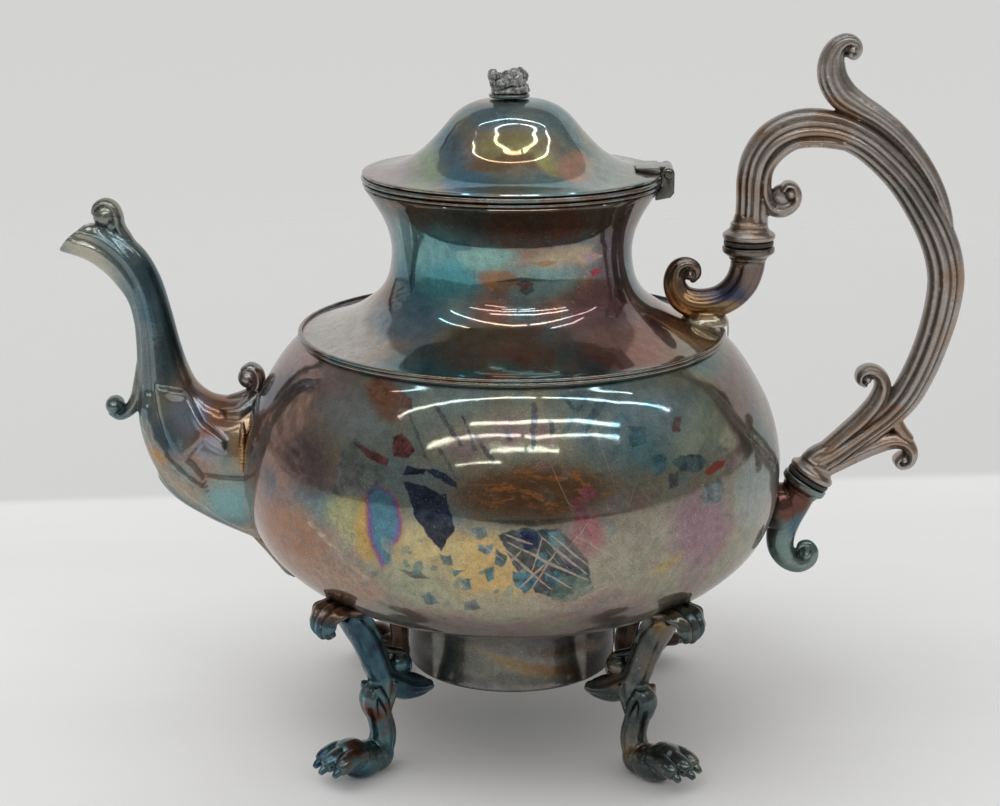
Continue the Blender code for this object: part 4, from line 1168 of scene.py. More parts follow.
def tarnish(name, paint, haze, sharp=0.055, grain=0.5, saturation=1.22, marks=None, gain=None,
            seed=0.0):
    """Tarnished plate; paint(g, p) gives the colour of its film.

    haze is the share of the broad reflection, sharp the roughness of the other one, grain the
    strength of the mottling, marks a function that draws over the film, gain a final tint.
    """
    mat, g, p = new_material(name)
    colour = g.out(g.node('ShaderNodeHueSaturation',
                          {'Saturation': saturation, 'Color': paint(g, p)}))
    mottle = g.remap(g.noise(p, scale=2.2, rough=0.7), 0.30, 0.70,
                     low=1.0 - 0.5 * grain, high=1.0 + 0.5 * grain)
    mottle = mottle * g.remap(g.noise(p, scale=0.32, rough=0.65), 0.32, 0.68,
                              low=0.84, high=1.16)
    colour = g.tinted(colour, mottle)
    scratch = scratches(g, p, 1.0, seed)
    # wiping wears the film back towards bare silver in thin lines
    colour = g.mix(scratch * 0.8 * 0.46, colour, (0.62, 0.61, 0.59))
    speck = g.remap(g.noise(p, scale=4.2, detail=2), 0.64, 0.74)
    colour = g.mix(speck * 0.5 * grain, colour, (0.08, 0.06, 0.045))
    if marks:
        colour = marks(g, p, colour)
    if gain:
        colour = g.mix(1.0, colour, gain, 'MULTIPLY')
    hazy = g.remap(g.noise(p, scale=0.035, detail=3, rough=0.5), 0.35, 0.65,
                   low=haze * 0.75, high=haze * 1.3)
    normal = g.bump(g.noise(p, scale=0.09, detail=2, rough=0.5), strength=0.10, distance=0.0006)
    normal = g.bump(scratch * -1.0, strength=0.10, distance=0.00003, normal=normal)
    rough = g.remap(g.noise(p, scale=0.4, detail=3), 0.3, 0.7, low=sharp * 0.8, high=sharp * 1.4)
    finish_material(g, g.mix_shader(hazy, g.metal(colour, rough, normal),
                                    g.metal(colour, 0.42, normal)))
    return mat


def cast(name, paint, edge, edge_amount, sharp, haze, broad=0.45, soot_amount=0.92,
         soot_range=(0.505, 0.455)):
    """Cast silver: dark in its grooves, and rubbed to the edge colour on its ridges, which is
    partly real wear and, with a pale edge colour, partly a painted highlight.

    sharp and broad are the roughness of its two reflections, haze the share of the broad one;
    soot_range is the pointiness at which the dark starts and is full.
    """
    mat, g, p = new_material(name)
    colour = paint(g, p)
    mottle = g.remap(g.noise(p, scale=1.6, rough=0.65), 0.30, 0.70, low=0.78, high=1.22)
    colour = g.tinted(colour, mottle)
    pointiness = g.out(g.node('ShaderNodeNewGeometry'), 'Pointiness')
    soot = g.ease(pointiness, *soot_range)
    # ridges rubbed towards the edge colour: real wear, and where the edge colour is pale also a
    # painted highlight
    rub_and_highlight = g.ease(pointiness, 0.52, 0.56) * g.remap(g.noise(p, scale=0.3, detail=3), 0.35, 0.6,
                                                   low=0.3, high=1.0)
    colour = g.mix(rub_and_highlight * edge_amount, colour, edge)
    colour = g.mix(soot * soot_amount, colour, (0.035, 0.030, 0.026))
    speck = g.remap(g.noise(p, scale=3.2, detail=2), 0.64, 0.74)
    colour = g.mix(speck * 0.3, colour, (0.05, 0.04, 0.035))
    normal = g.bump(g.noise(p, scale=0.9), strength=0.16, distance=0.00025)
    normal = g.bump(scratches(g, p, 0.8, 4.0) * -1.0, strength=0.12, distance=0.00003,
                    normal=normal)
    rough = g.remap(g.noise(p, scale=0.5, detail=3), 0.3, 0.7,
                    low=sharp * 0.75, high=sharp * 1.35) + soot * 0.15
    finish_material(g, g.mix_shader(haze, g.metal(colour, rough, normal),
                                    g.metal(colour, broad, normal)))
    return mat


# ============================================================ belly film
BELLY_PATCHES = [
    (-9, -86, 87.5, 25, 12.5, 0, 0.35, (0.54, 0.4, 0.2), 0.92),
    (-22, -84, 94, 11, 8, 20, 0.4, (0.5, 0.43, 0.25), 0.8),
    (-26, -80, 80, 13, 8, 10, 0.5, (0.33, 0.35, 0.26), 0.85),
    (-2, -84, 75, 20, 5, 0, 0.5, (0.39, 0.36, 0.28), 0.8),
    (8, -86, 110.5, 24, 8, 0, 0.45, (0.15, 0.08, 0.045), 0.9),
    (-58, -62, 100, 9, 6.5, 0, 0.5, (0.11, 0.22, 0.24), 0.85),
    (-46.5, -72, 98.5, 8.5, 7, 20, 0.45, (0.4, 0.4, 0.22), 0.9),
    (-67, -58, 86, 12, 13, 30, 0.5, (0.36, 0.19, 0.12), 0.8),
    (-47, -58, 128, 11, 7, 0, 0.5, (0.27, 0.29, 0.29), 0.85),
    (-54, -58, 75, 16, 7, 0, 0.5, (0.42, 0.29, 0.22), 0.8),
    (-62, -28, 136, 15, 7, 0, 0.5, (0.33, 0.25, 0.24), 0.8),
    (-62, -56, 111, 9, 9, 0, 0.5, (0.12, 0.09, 0.1), 0.8),
    (42, -74, 90, 17, 14, 15, 0.4, (0.31, 0.29, 0.23), 0.9),
    (24, -86, 97, 5.5, 8, 25, 0.4, (0.36, 0.17, 0.18), 0.85),
    (60, -66, 94, 9, 13, -20, 0.5, (0.28, 0.19, 0.22), 0.85),
    (78, -44, 100, 8, 13, 0, 0.4, (0.28, 0.31, 0.29), 0.8),
    (57, -60, 122, 15, 8, 15, 0.45, (0.37, 0.42, 0.33), 0.85),
    (44, -66, 128, 12, 6, 10, 0.5, (0.22, 0.29, 0.32), 0.85),
    (43, -72, 119, 9, 5, 10, 0.5, (0.13, 0.24, 0.26), 0.8),
    (74, -30, 128, 9, 10, 0, 0.5, (0.24, 0.18, 0.17), 0.8),
    (-36, -56, 133, 7, 5, 30, 0.35, (0.22, 0.11, 0.07), 0.8)]

# flakes on the front, grouped by colour: (amount, (x, z) corners)
BELLY_FLAKES = [
    ((0.22, 0.11, 0.07), [
        (0.7, [(-44.5, 136), (-40, 138.5), (-33.5, 134.5), (-36, 131.3), (-41, 133)])]),
    ((0.13, 0.17, 0.18), [
        (0.6, [(-53, 105), (-50.5, 116), (-46, 122), (-40.5, 120.6), (-35.6, 116),
               (-36.2, 111.5), (-41, 107)]),
        (0.75, [(60.6, 106.6), (65, 107.6), (67.6, 104.4), (66, 100.6), (61.6, 100),
                (59.4, 103.2)]),
        (0.7, [(18.4, 85.6), (22, 86.2), (24, 81.8), (19.2, 81)]),
        (0.7, [(-12.6, 76.4), (-8.6, 77.6), (-7.4, 73.6), (-11.6, 72.6)])]),
    # beaked flake of dark film
    ((0.024, 0.030, 0.052), [
        (0.95, [(-31, 114), (-29, 117.2), (-23.5, 116.6), (-24, 115), (-28.5, 114.4)]),
        (0.95, [(-24, 116.6), (-18, 116.2), (-14, 113.6), (-13.6, 111.2), (-16.5, 112.6),
                (-24, 115)]),
        (0.95, [(-31, 114), (-28.5, 114.2), (-24, 112), (-18, 111.6), (-17, 109), (-28, 107)]),
        (0.95, [(-28.8, 108.5), (-17, 110), (-15, 99.5), (-19, 93), (-26.5, 102)])]),
    ((0.15, 0.06, 0.06), [
        (0.95, [(-34, 124), (-31, 125.2), (-29, 124), (-26.8, 121), (-28.5, 119.3),
                (-33.4, 118.5)]),
        (0.9, [(-46.5, 120.8), (-42, 120.4), (-34.8, 117.6), (-35, 115.8), (-41, 117.2)]),
        (0.8, [(51.2, 127.6), (53.6, 127), (52.8, 123.2), (50.4, 123.6)])]),
    ((0.14, 0.07, 0.05), [
        (0.8, [(-32, 135.5), (-28.2, 134.5), (-28.2, 131.8), (-31.5, 132.3)])]),
    # field of dark teal; smaller facets of other groups lie inside and beside it
    ((0.040, 0.060, 0.070), [
        (0.9, [(-1.5, 98.5), (5, 100.8), (16.5, 100.4), (25, 90), (26, 82), (17, 77),
               (9.5, 80), (2.5, 89.5)])]),
    ((0.08, 0.085, 0.09), [
        (0.8, [(-22, 133.4), (-19.8, 133), (-12, 123.2), (-13.6, 123)]),
        (0.8, [(-13.2, 132), (-12.2, 131.6), (-8.2, 122.6), (-9.6, 122.4)]),
        (0.7, [(-29.6, 131), (-28.4, 130.4), (-22.6, 119), (-24, 119.4)]),
        (0.7, [(-20, 122.6), (-18.4, 122.2), (-13, 113.8), (-14.6, 114)]),
        (0.75, [(-9.2, 126.8), (-7.4, 126.4), (-2.6, 119.4), (-4, 119)]),
        (0.8, [(49, 112.6), (52, 112.8), (52.2, 108.6), (49.2, 108.2)]),
        (0.8, [(-31.6, 85), (-25.4, 86), (-22.6, 83.4), (-28, 83)])]),
    ((0.13, 0.17, 0.14), [
        (0.6, [(14, 84), (24, 86), (27, 80), (20, 75), (14, 77)])]),
    ((0.08, 0.16, 0.19), [
        (0.95, [(2.5, 87.6), (8.4, 86.4), (10, 82.5), (6, 79.4), (3, 82.5)]),
        (0.9, [(-6.2, 87.8), (-3, 89.4), (-2.6, 85), (-4.6, 83.6)]),
        (0.85, [(-13, 83.4), (-9.8, 84.8), (-9.8, 80.8), (-12.2, 80.2)]),
        (0.85, [(-16.4, 87), (-11.6, 87.4), (-14.6, 84.6)]),
        (0.85, [(-8, 95.6), (-3.2, 95.4), (-4.4, 92.8), (-7.6, 93.6)]),
        (0.7, [(-9.6, 100), (-6, 101.4), (-4.8, 98.4), (-8.4, 97)]),
        (0.75, [(44, 118), (48.6, 118.6), (47.8, 113.6), (44.6, 113)]),
        (0.75, [(37, 127), (42.4, 126), (42.6, 122), (37.4, 121.4)]),
        (0.85, [(12, 86.6), (16.2, 87.2), (17.6, 83), (13, 82.2)]),
        (0.7, [(-25.6, 76.6), (-22.6, 78.4), (-19.6, 74.6), (-23.6, 73.4)])]),
    ((0.075, 0.12, 0.14), [
        (0.9, [(-19.6, 91.8), (-16.2, 91.8), (-15.6, 88.2), (-18.2, 88.6)]),
        (0.9, [(-2.6, 94.6), (0.9, 92.2), (-0.4, 88.6), (-2.6, 89.6)]),
        (0.9, [(50, 115.4), (53, 117.2), (59, 116), (61.6, 113.2), (59, 111.2), (53, 112.2)]),
        (0.75, [(16.2, 136.6), (17.8, 136.4), (21.6, 132.8), (20, 132.4)]),
        (0.6, [(22.4, 135.6), (24.4, 135.2), (17.8, 126), (16.2, 126.4)]),
        (0.75, [(27.6, 134.4), (30, 133.6), (24, 126.4), (22.2, 127.2)])]),
    ((0.10, 0.20, 0.22), [
        (0.7, [(34.4, 131.4), (37.4, 130), (33, 124.4), (30.6, 126)]),
        (0.7, [(42, 133.6), (47.4, 132), (47, 129.4), (41, 131)]),
        (0.8, [(12.2, 99.6), (16.4, 99.8), (18.6, 95), (14, 95.2)]),
        (0.8, [(9, 92.6), (12, 93.4), (13.6, 89.6), (10.6, 88.6)]),
        (0.8, [(-37, 92), (-35, 93), (-34, 86.6), (-36.4, 86)])]),
    ((0.028, 0.034, 0.068), [
        (0.9, [(4.6, 99.4), (9.6, 100.2), (10.4, 95.2), (6.2, 93.6)]),
        (0.85, [(16, 94), (20.4, 94.6), (23.6, 88.4), (19, 87.2)])]),
    ((0.31, 0.10, 0.15), [
        (0.6, [(21.6, 111.6), (26.4, 112), (28.4, 109.4), (24.2, 107)]),
        (0.45, [(18.6, 108.6), (22, 109.4), (24.6, 105), (21.4, 104.4)]),
        (0.5, [(20.4, 104), (24.6, 104.4), (26, 97.4), (22.2, 97)])]),
    ((0.27, 0.23, 0.24), [
        (0.6, [(29.4, 108), (35, 109.2), (36, 105.4), (30.4, 104.6)])]),
    ((0.42, 0.36, 0.29), [
        (0.5, [(-61.4, 94), (-59.6, 95), (-41, 80), (-42.4, 78.6)])]),
    ((0.07, 0.08, 0.10), [
        (0.8, [(7.8, 135), (9.6, 134.6), (8.6, 122.6), (7.6, 123)]),
        (0.7, [(-1, 129), (0.6, 128.6), (2.4, 125.4), (1, 125)]),
        (0.8, [(12.8, 130.4), (14.6, 129.8), (14.8, 126.4), (13.4, 126)])])]

# strokes scraped off the film: centre x, z, angle, half width, half length
BELLY_STROKES = [
    (6.7, 88, 44, 0.42, 10.8), (13, 90, 29, 0.5, 14.3), (18, 91.7, 42, 0.42, 10),
    (20.2, 92.8, 42, 0.34, 8.8), (9.5, 86.5, -45, 0.42, 7.8), (12.2, 87.7, -60, 0.38, 8.4),
    (2.7, 91.5, -48, 0.4, 3.4), (9.7, 92, -74, 0.3, 6), (15.6, 84, 36, 0.34, 6),
    (4.4, 97.4, 20, 0.4, 4.6), (27, 94, 34, 0.18, 9), (22.6, 99, -52, 0.16, 6.4),
    (-4, 94, 38, 0.26, 5), (33, 83, 62, 0.2, 7), (29, 79.6, -24, 0.22, 8),
    (17, 112, 63, 0.12, 9), (29.6, 120, 70, 0.12, 10), (38, 108, -68, 0.12, 8)]


def belly_flakes(g, crisp, front, colour):
    """Lay the groups of flakes and mottle them together."""
    brightness = g.remap(g.noise(crisp, scale=0.30, rough=0.65), 0.36, 0.64)
    cover = None
    for tone, flakes in BELLY_FLAKES:
        group = None
        for amount, corners in flakes:
            mask = g.outline(crisp, corners, 0.24) * amount
            group = mask if group is None else group.max(mask)
        mask = group * front
        colour = g.mix(mask, colour, tone)
        cover = mask if cover is None else cover.max(mask)
    gain = g.mix_value(cover, 1.0, g.remap(brightness, 0, 1, low=0.62, high=1.55))
    return g.tinted(colour, gain)


def belly_colour(g, p):
    broad = g.warped(p, scale=0.030, amount=20.0)
    mid = g.warped(p, scale=0.11, amount=5.0)
    x, y, z = g.split(broad)
    colour = g.ramp(g.noise(broad, scale=0.026),
                    [(0.30, (0.11, 0.17, 0.19)), (0.42, (0.19, 0.23, 0.22)),
                     (0.52, (0.25, 0.24, 0.18)), (0.62, (0.23, 0.17, 0.16)),
                     (0.75, (0.28, 0.24, 0.22))])
    # flank towards the spout: brown, purple and slate clouds
    left = g.ease(x, -42.0, -64.0)
    flank = g.ramp(g.noise(mid, scale=0.045),
                   [(0.28, (0.09, 0.13, 0.16)), (0.42, (0.19, 0.17, 0.18)),
                    (0.52, (0.31, 0.21, 0.18)), (0.62, (0.33, 0.24, 0.21)),
                    (0.76, (0.17, 0.10, 0.10))])
    colour = g.mix(left, colour, flank)
    # lower half: thinner, paler film with rose and straw clouds
    low = g.ease(z, 102.0, 92.0)
    pale = g.ramp(g.noise(mid, scale=0.055),
                  [(0.30, (0.25, 0.27, 0.22)), (0.44, (0.33, 0.31, 0.24)),
                   (0.56, (0.32, 0.24, 0.21)), (0.72, (0.26, 0.24, 0.23))])
    colour = g.mix(low * (1.0 - left * 0.6), colour, pale)
    colour = g.patches(mid, colour, 60, BELLY_PATCHES)

    def brushed(tilt, size, start, end, centre, half_sizes):
        """Streaks of noise stretched along one direction, kept inside a blob."""
        local = g.mapped(mid, rot=(0, math.radians(tilt), 0), size=size, kind='POINT')
        streak = g.remap(g.noise(local, scale=1.0, detail=3), start, end)
        return streak * g.blob(p, centre, half_sizes, tilt=0.0, soft=0.4)

    # orange streaks fan out over the dark front
    streak = brushed(20, (0.09, 1.0, 0.45), 0.52, 0.62, (11, -86, 112), (22, 60, 6))
    colour = g.mix(streak * 0.8, colour, (0.42, 0.19, 0.09))
    # diagonal wiping over the lower flank towards the spout
    wipe = brushed(38, (0.06, 1.0, 0.7), 0.48, 0.60, (-56, -64, 86), (19, 60, 15))
    colour = g.mix(wipe * 0.7, colour, (0.25, 0.22, 0.20))
    # a drop of thicker film with a coloured margin
    halo = g.blob(mid, (-41, -78, 96), (4.2, 60, 9.5), tilt=0.0, soft=0.5)
    colour = g.mix(halo * 0.85, colour, (0.50, 0.34, 0.14))
    wet = g.warped(p, scale=0.14, amount=3.4, detail=4)
    # margin width, edge softness, colour
    for out, soft, tone in ((1.7, 0.55, (0.34, 0.15, 0.17)), (0.9, 0.55, (0.17, 0.11, 0.30)),
                            (0.0, 0.9, (0.11, 0.24, 0.29))):
        drop = [(-40.6 - out, 107.0), (-39.0, 109.6 + out), (-33.6 + out, 108.0),
                (-32.2 + out, 101.0), (-34.0 + out, 94.0), (-36.8, 87.4 - out * 2.0),
                (-40.0 - out, 95.0)]
        colour = g.mix(g.outline(wet, drop, soft) * 0.92, colour, tone)
    crisp = g.warped(p, scale=0.24, amount=2.6, detail=5)
    front = g.remap(y, 0.0, -12.0)
    colour = belly_flakes(g, crisp, front, colour)
    # straw-coloured smudge low towards the handle
    smudge = [(44, 83), (49, 86), (54, 87.6), (52.4, 84), (47, 81.4)]
    colour = g.mix(g.outline(crisp, smudge, 0.9) * front * 0.55, colour, (0.42, 0.31, 0.13))
    # small leaf-shaped flakes scattered over the pale front
    zone = g.blob(p, (-12, -86, 80), (34, 60, 19), tilt=0.0, soft=0.3)
    zone = zone.max(g.blob(p, (42, -72, 100), (30, 60, 28), tilt=0.0, soft=0.4) * 0.5)
    # angle, cell scale, share of empty cells, offset
    for angle, scale, empty, offset in ((28, 0.17, 0.46, 0.0), (-40, 0.11, 0.56, 17.0),
                                        (64, 0.30, 0.55, 41.0)):
        local = g.mapped(crisp, (offset, offset, 0), (0.2, math.radians(angle), 0.3),
                         (1.0, 1.0, 1.9))
        dist, chance = g.cells(local, scale)
        flake = g.remap(dist, 0.27, 0.22) * g.remap(chance[0], empty, empty + 0.04)
        tone = g.mix(chance[1], (0.12, 0.19, 0.19), (0.27, 0.30, 0.24))
        colour = g.mix(flake * zone * 0.8, colour, tone)
    # larger irregular flakes all round
    dist, chance = g.cells(g.mapped(crisp, (31, 7, 3), (0.4, -0.5, 0.2), (1.0, 1.0, 1.5)), 0.052)
    flake = g.remap(dist, 0.36, 0.31) * g.remap(chance[0], 0.66, 0.69)
    tone = g.mix(chance[1], (0.12, 0.15, 0.18), (0.30, 0.26, 0.20))
    return g.mix(flake * 0.35, colour, tone)


def belly_marks(g, p, colour):
    """Crossing strokes where the film was scraped off, and one red mark."""
    wavy = g.warped(p, scale=0.10, amount=1.6)
    front = g.remap(g.split(p)[1], 0.0, -12.0)
    total = None
    for x, z, angle, half, reach in BELLY_STROKES:
        along, _, across = g.split(g.mapped(wavy, (x, 0.0, z), (0, math.radians(angle), 0)))
        taper = half * g.remap(along.abs(), 0.0, reach, low=1.05, high=0.45)
        stroke = (g.remap(across.abs() - taper, 0.08, -0.12)
                  * g.remap(along.abs(), reach, reach * 0.9))
        total = stroke if total is None else total.max(stroke)
    worn = g.remap(g.noise(p, scale=0.5, detail=3), 0.36, 0.56, low=0.45, high=1.0)
    colour = g.mix(total * front * worn * 0.85, colour, (0.47, 0.36, 0.30))
    mark = g.outline(wavy, [(60.6, 110.6), (64, 112.9), (68.2, 112), (67, 110.3), (62, 109.2)])
    return g.mix(mark * front * 0.9, colour, (0.32, 0.07, 0.05))


# ============================================================ other films
# amount, colour, (x, z) corners of the flakes on the neck's front
NECK_FLAKES = [
    (0.75, (0.045, 0.075, 0.085),
     [(-35.4, 186), (-31.6, 186), (-31, 170), (-31.2, 158), (-33.4, 166)]),
    (0.7, (0.3, 0.17, 0.1), [(7, 170.4), (12, 171.2), (15.6, 170.2), (11, 169)]),
    (0.8, (0.36, 0.2, 0.12), [(-7, 163.4), (-5, 165.4), (-3.4, 163.4), (-5.2, 161.4)]),
    (0.7, (0.05, 0.06, 0.06), [(3.4, 162), (6, 164.4), (8.2, 161.8), (5.4, 160)]),
    (0.8, (0.14, 0.07, 0.07), [(2, 163.6), (5, 165.2), (8.2, 163.4), (5, 161.8)]),
    (0.8, (0.36, 0.24, 0.26), [(22, 171.2), (26, 172), (29.6, 170.2), (25, 168.8)]),
    (0.9, (0.3, 0.09, 0.1), [(25, 166), (27.4, 166.8), (29, 165.2), (26.4, 164.4)]),
    (0.7, (0.11, 0.19, 0.22), [(-20, 176), (-14, 177.6), (-11, 174.6), (-17, 173.4)])]


def neck_colour(g, p):
    wavy = g.warped(p, scale=0.035, amount=18.0)
    _, y, z = g.split(wavy)
    colour = g.ramp(g.noise(wavy, scale=0.026, rough=0.58),
                    [(0.30, (0.11, 0.19, 0.21)), (0.44, (0.17, 0.18, 0.18)),
                     (0.54, (0.26, 0.15, 0.12)), (0.64, (0.24, 0.18, 0.19)),
                     (0.76, (0.31, 0.28, 0.24))])
    colour = g.patches(wavy, colour, 40, [
        (-24, -30, 168, 15, 18, 5, 0.5, (0.16, 0.27, 0.28), 0.92),
        (-29, -30, 156, 9, 8, 20, 0.5, (0.09, 0.15, 0.19), 0.85),
        (-7, -38, 171, 9, 4.5, 0, 0.5, (0.24, 0.36, 0.33), 0.85),
        (17, -36, 171, 11, 4, -6, 0.5, (0.42, 0.32, 0.24), 0.8),
        (12, -36, 162.5, 11, 5.5, 0, 0.5, (0.2, 0.27, 0.26), 0.9),
        (-18, -36, 163, 11, 5.5, 0, 0.5, (0.11, 0.25, 0.27), 0.9),
        (-3, -40, 163.4, 5, 3, 10, 0.35, (0.26, 0.15, 0.1), 0.8),
        (34, -20, 172, 7, 14, 0, 0.5, (0.13, 0.08, 0.09), 0.8),
        (31, -28, 154, 11, 7, -20, 0.5, (0.18, 0.1, 0.1), 0.85),
        (-8, -48, 147.5, 22, 3.6, 0, 0.5, (0.2, 0.15, 0.11), 0.85),
        (41, -36, 145.2, 16, 5, 0, 0.5, (0.3, 0.17, 0.15), 0.85),
        (62, -9, 142, 14, 5, 0, 0.5, (0.38, 0.28, 0.2), 0.85)])
    colour = g.patches(wavy, colour, 60, [
        (-54, -18, 144, 18, 7, 0, 0.6, (0.46, 0.41, 0.38), 0.85)])
    colour = g.patches(wavy, colour, 40, [
        (-34, -34, 149, 10, 5, 0, 0.6, (0.14, 0.19, 0.23), 0.75)])
    # the flare under the rim is darkened towards brown-black
    colour = g.mix(g.ease(z, 177.0, 184.0, high=0.75), colour, (0.09, 0.065, 0.05))
    crisp = g.warped(p, scale=0.30, amount=1.4, detail=4)
    front = g.remap(y, 0.0, -8.0)
    for amount, tone, corners in NECK_FLAKES:
        colour = g.mix(g.outline(crisp, corners) * front * amount, colour, tone)
    return colour


def lid_colour(g, p):
    wavy = g.warped(p, scale=0.045, amount=12.0)
    colour = g.ramp(g.noise(wavy, scale=0.034, rough=0.58),
                    [(0.30, (0.13, 0.20, 0.21)), (0.44, (0.25, 0.26, 0.22)),
                     (0.54, (0.33, 0.28, 0.22)), (0.64, (0.30, 0.23, 0.22)),
                     (0.76, (0.22, 0.28, 0.27))])
    return g.patches(wavy, colour, 30, [
        (-36, -8, 198, 12, 8, -30, 0.6, (0.36, 0.29, 0.27), 0.85),
        (-14, -33, 196, 8, 4.5, 0, 0.5, (0.12, 0.22, 0.27), 0.9),
        (-26, -22, 197.5, 7, 5, 30, 0.6, (0.26, 0.3, 0.2), 0.85),
        (-20, -18, 203, 5, 6, -20, 0.6, (0.14, 0.2, 0.22), 0.8),
        (0, -26, 203.5, 11, 6, 0, 0.45, (0.3, 0.25, 0.13), 0.9),
        (-1, -29, 199.6, 12, 2.4, 0, 0.5, (0.2, 0.12, 0.08), 0.75),
        (21, -25, 198, 6, 3.2, 20, 0.5, (0.74, 0.45, 0.33), 0.85),
        (12.5, -29, 199, 3.6, 2.6, 20, 0.5, (0.54, 0.49, 0.24), 0.8),
        (15, -36, 194.2, 12, 2.6, 0, 0.6, (0.2, 0.3, 0.29), 0.85),
        (30, -20, 196.5, 6, 5, 0, 0.6, (0.35, 0.36, 0.31), 0.8),
        (14, -11, 211, 9, 4, 0, 0.6, (0.2, 0.25, 0.24), 0.8),
        (-6, -14, 213, 9, 3, 0, 0.6, (0.17, 0.22, 0.23), 0.8)])


def pan_colour(g, p):
    wavy = g.warped(p, scale=0.05, amount=9.0)
    colour = g.ramp(g.noise(g.mapped(wavy, size=(1, 1, 2.4), kind='POINT'), scale=0.035,
                            rough=0.55),
                    [(0.32, (0.13, 0.13, 0.12)), (0.50, (0.21, 0.20, 0.18)),
                     (0.68, (0.16, 0.16, 0.16))])
    x, y, _ = g.split(p)
    # painted reflection: both flanks are painted nearly black, for the dark feet reflected in
    # them
    side = g.ease(x.abs(), 24.8, 26.4, high=0.94) * g.remap(y, 12.0, 4.0)
    colour = g.mix(side, colour, (0.018, 0.016, 0.015))
    return g.patches(wavy, colour, 30, [
        (4, -34, 34, 15, 1.8, 20, 0.6, (0.26, 0.21, 0.13), 0.8),
        (16, -31, 30.5, 8, 1.6, 20, 0.6, (0.2, 0.12, 0.08), 0.7),
        (20, -28, 37, 12, 2.2, 6, 0.6, (0.13, 0.1, 0.08), 0.8),
        (-18, -30, 34, 10, 4, 0, 0.6, (0.13, 0.14, 0.13), 0.7)])


def rim_colour(g, p):
    return g.ramp(g.noise(p, scale=0.06),
                  [(0.32, (0.14, 0.19, 0.20)), (0.48, (0.26, 0.26, 0.24)),
                   (0.60, (0.22, 0.17, 0.14)), (0.74, (0.34, 0.33, 0.30))])


def spout_colour(g, p):
    wavy = g.warped(p, scale=0.05, amount=10.0)
    colour = g.ramp(g.noise(wavy, scale=0.040, rough=0.58),
                    [(0.30, (0.10, 0.17, 0.21)), (0.44, (0.18, 0.23, 0.23)),
                     (0.54, (0.30, 0.29, 0.24)), (0.64, (0.30, 0.21, 0.17)),
                     (0.76, (0.24, 0.29, 0.28))])
    return g.patches(wavy, colour, 30, [
        (-139, 0, 163, 12, 7, 45, 0.5, (0.48, 0.46, 0.37), 0.85),
        (-118, 0, 160, 5, 12, -25, 0.5, (0.06, 0.11, 0.13), 0.9),
        (-114, 0, 136, 3.6, 16, 0, 0.5, (0.05, 0.08, 0.09), 0.85),
        (-123, 0, 130, 3.4, 14, 0, 0.5, (0.2, 0.22, 0.21), 0.7),
        (-101, 0, 112, 9, 9, -20, 0.5, (0.26, 0.12, 0.07), 0.9),
        (-114, 0, 105, 6, 8, -20, 0.5, (0.08, 0.14, 0.19), 0.8),
        (-95, 0, 84, 9, 8, 0, 0.4, (0.23, 0.4, 0.41), 0.9),
        (-108, 0, 113, 5, 6, 0, 0.5, (0.24, 0.3, 0.38), 0.85),
        (-100.5, 0, 103, 5, 5, 0, 0.5, (0.34, 0.36, 0.43), 0.85),
        (-91.5, 0, 104, 3.4, 8, 0, 0.5, (0.46, 0.3, 0.18), 0.85),
        (-110, 0, 93, 5, 5, 30, 0.5, (0.26, 0.33, 0.31), 0.8),
        (-110, 0, 87, 8, 5, 40, 0.5, (0.38, 0.31, 0.24), 0.8),
        (-119, 0, 97.5, 4.6, 2.4, 25, 0.3, (0.42, 0.26, 0.12), 0.85),
        (-90, 0, 120, 7, 6, 0, 0.5, (0.3, 0.25, 0.24), 0.8),
        (-88.6, 0, 102, 2.6, 10, 0, 0.3, (0.46, 0.27, 0.12), 0.9),
        (-103, 0, 71, 16, 3.4, 28, 0.5, (0.24, 0.14, 0.08), 0.85)])


def handle_colour(g, p):
    wavy = g.warped(p, scale=0.03, amount=14.0)
    return g.ramp(g.noise(wavy, scale=0.035, detail=3),
                  [(0.28, (0.20, 0.21, 0.205)), (0.42, (0.33, 0.29, 0.26)),
                   (0.52, (0.40, 0.36, 0.33)), (0.62, (0.36, 0.25, 0.18)),
                   (0.74, (0.26, 0.24, 0.23))])


def upper_socket_colour(g, p):
    wavy = g.warped(p, scale=0.06, amount=6.0)
    colour = g.ramp(g.noise(wavy, scale=0.05, detail=3, rough=0.55),
                    [(0.32, (0.13, 0.10, 0.11)), (0.50, (0.17, 0.12, 0.09)),
                     (0.68, (0.09, 0.10, 0.13))])
    return g.patches(wavy, colour, 30, [
        (58, 0, 148, 12, 5, 20, 0.5, (0.36, 0.2, 0.09), 0.9),
        (51.5, 0, 156, 4, 8, 0, 0.5, (0.27, 0.15, 0.08), 0.85),
        (73, 0, 151, 6, 6, -30, 0.5, (0.06, 0.07, 0.12), 0.9),
        (70, 0, 147.5, 6, 2.4, -20, 0.5, (0.4, 0.26, 0.11), 0.7),
        (80, 0, 157, 4, 6, 0, 0.5, (0.2, 0.16, 0.14), 0.7),
        (78, 0, 165, 10, 3, 0, 0.5, (0.22, 0.2, 0.18), 0.7),
        (58, 0, 160, 5, 4, 0, 0.5, (0.24, 0.18, 0.15), 0.7),
        (64, 0, 142.5, 9, 2.6, 0, 0.3, (0.55, 0.48, 0.36), 0.9)])


def lower_socket_colour(g, p):
    wavy = g.warped(p, scale=0.06, amount=5.0)
    colour = g.ramp(g.noise(wavy, scale=0.05, detail=3, rough=0.55),
                    [(0.32, (0.10, 0.18, 0.19)), (0.50, (0.20, 0.27, 0.25)),
                     (0.68, (0.15, 0.20, 0.20))])
    return g.patches(wavy, colour, 30, [
        (94, 0, 82.5, 8, 7, 30, 0.35, (0.14, 0.06, 0.045), 0.95),
        (88, 0, 78, 3.6, 9, 0, 0.4, (0.06, 0.05, 0.05), 0.9),
        (97.5, 0, 74, 3, 5, 20, 0.5, (0.08, 0.15, 0.18), 0.9),
        (100, 0, 62, 4, 4, 0, 0.4, (0.24, 0.29, 0.27), 0.6)])


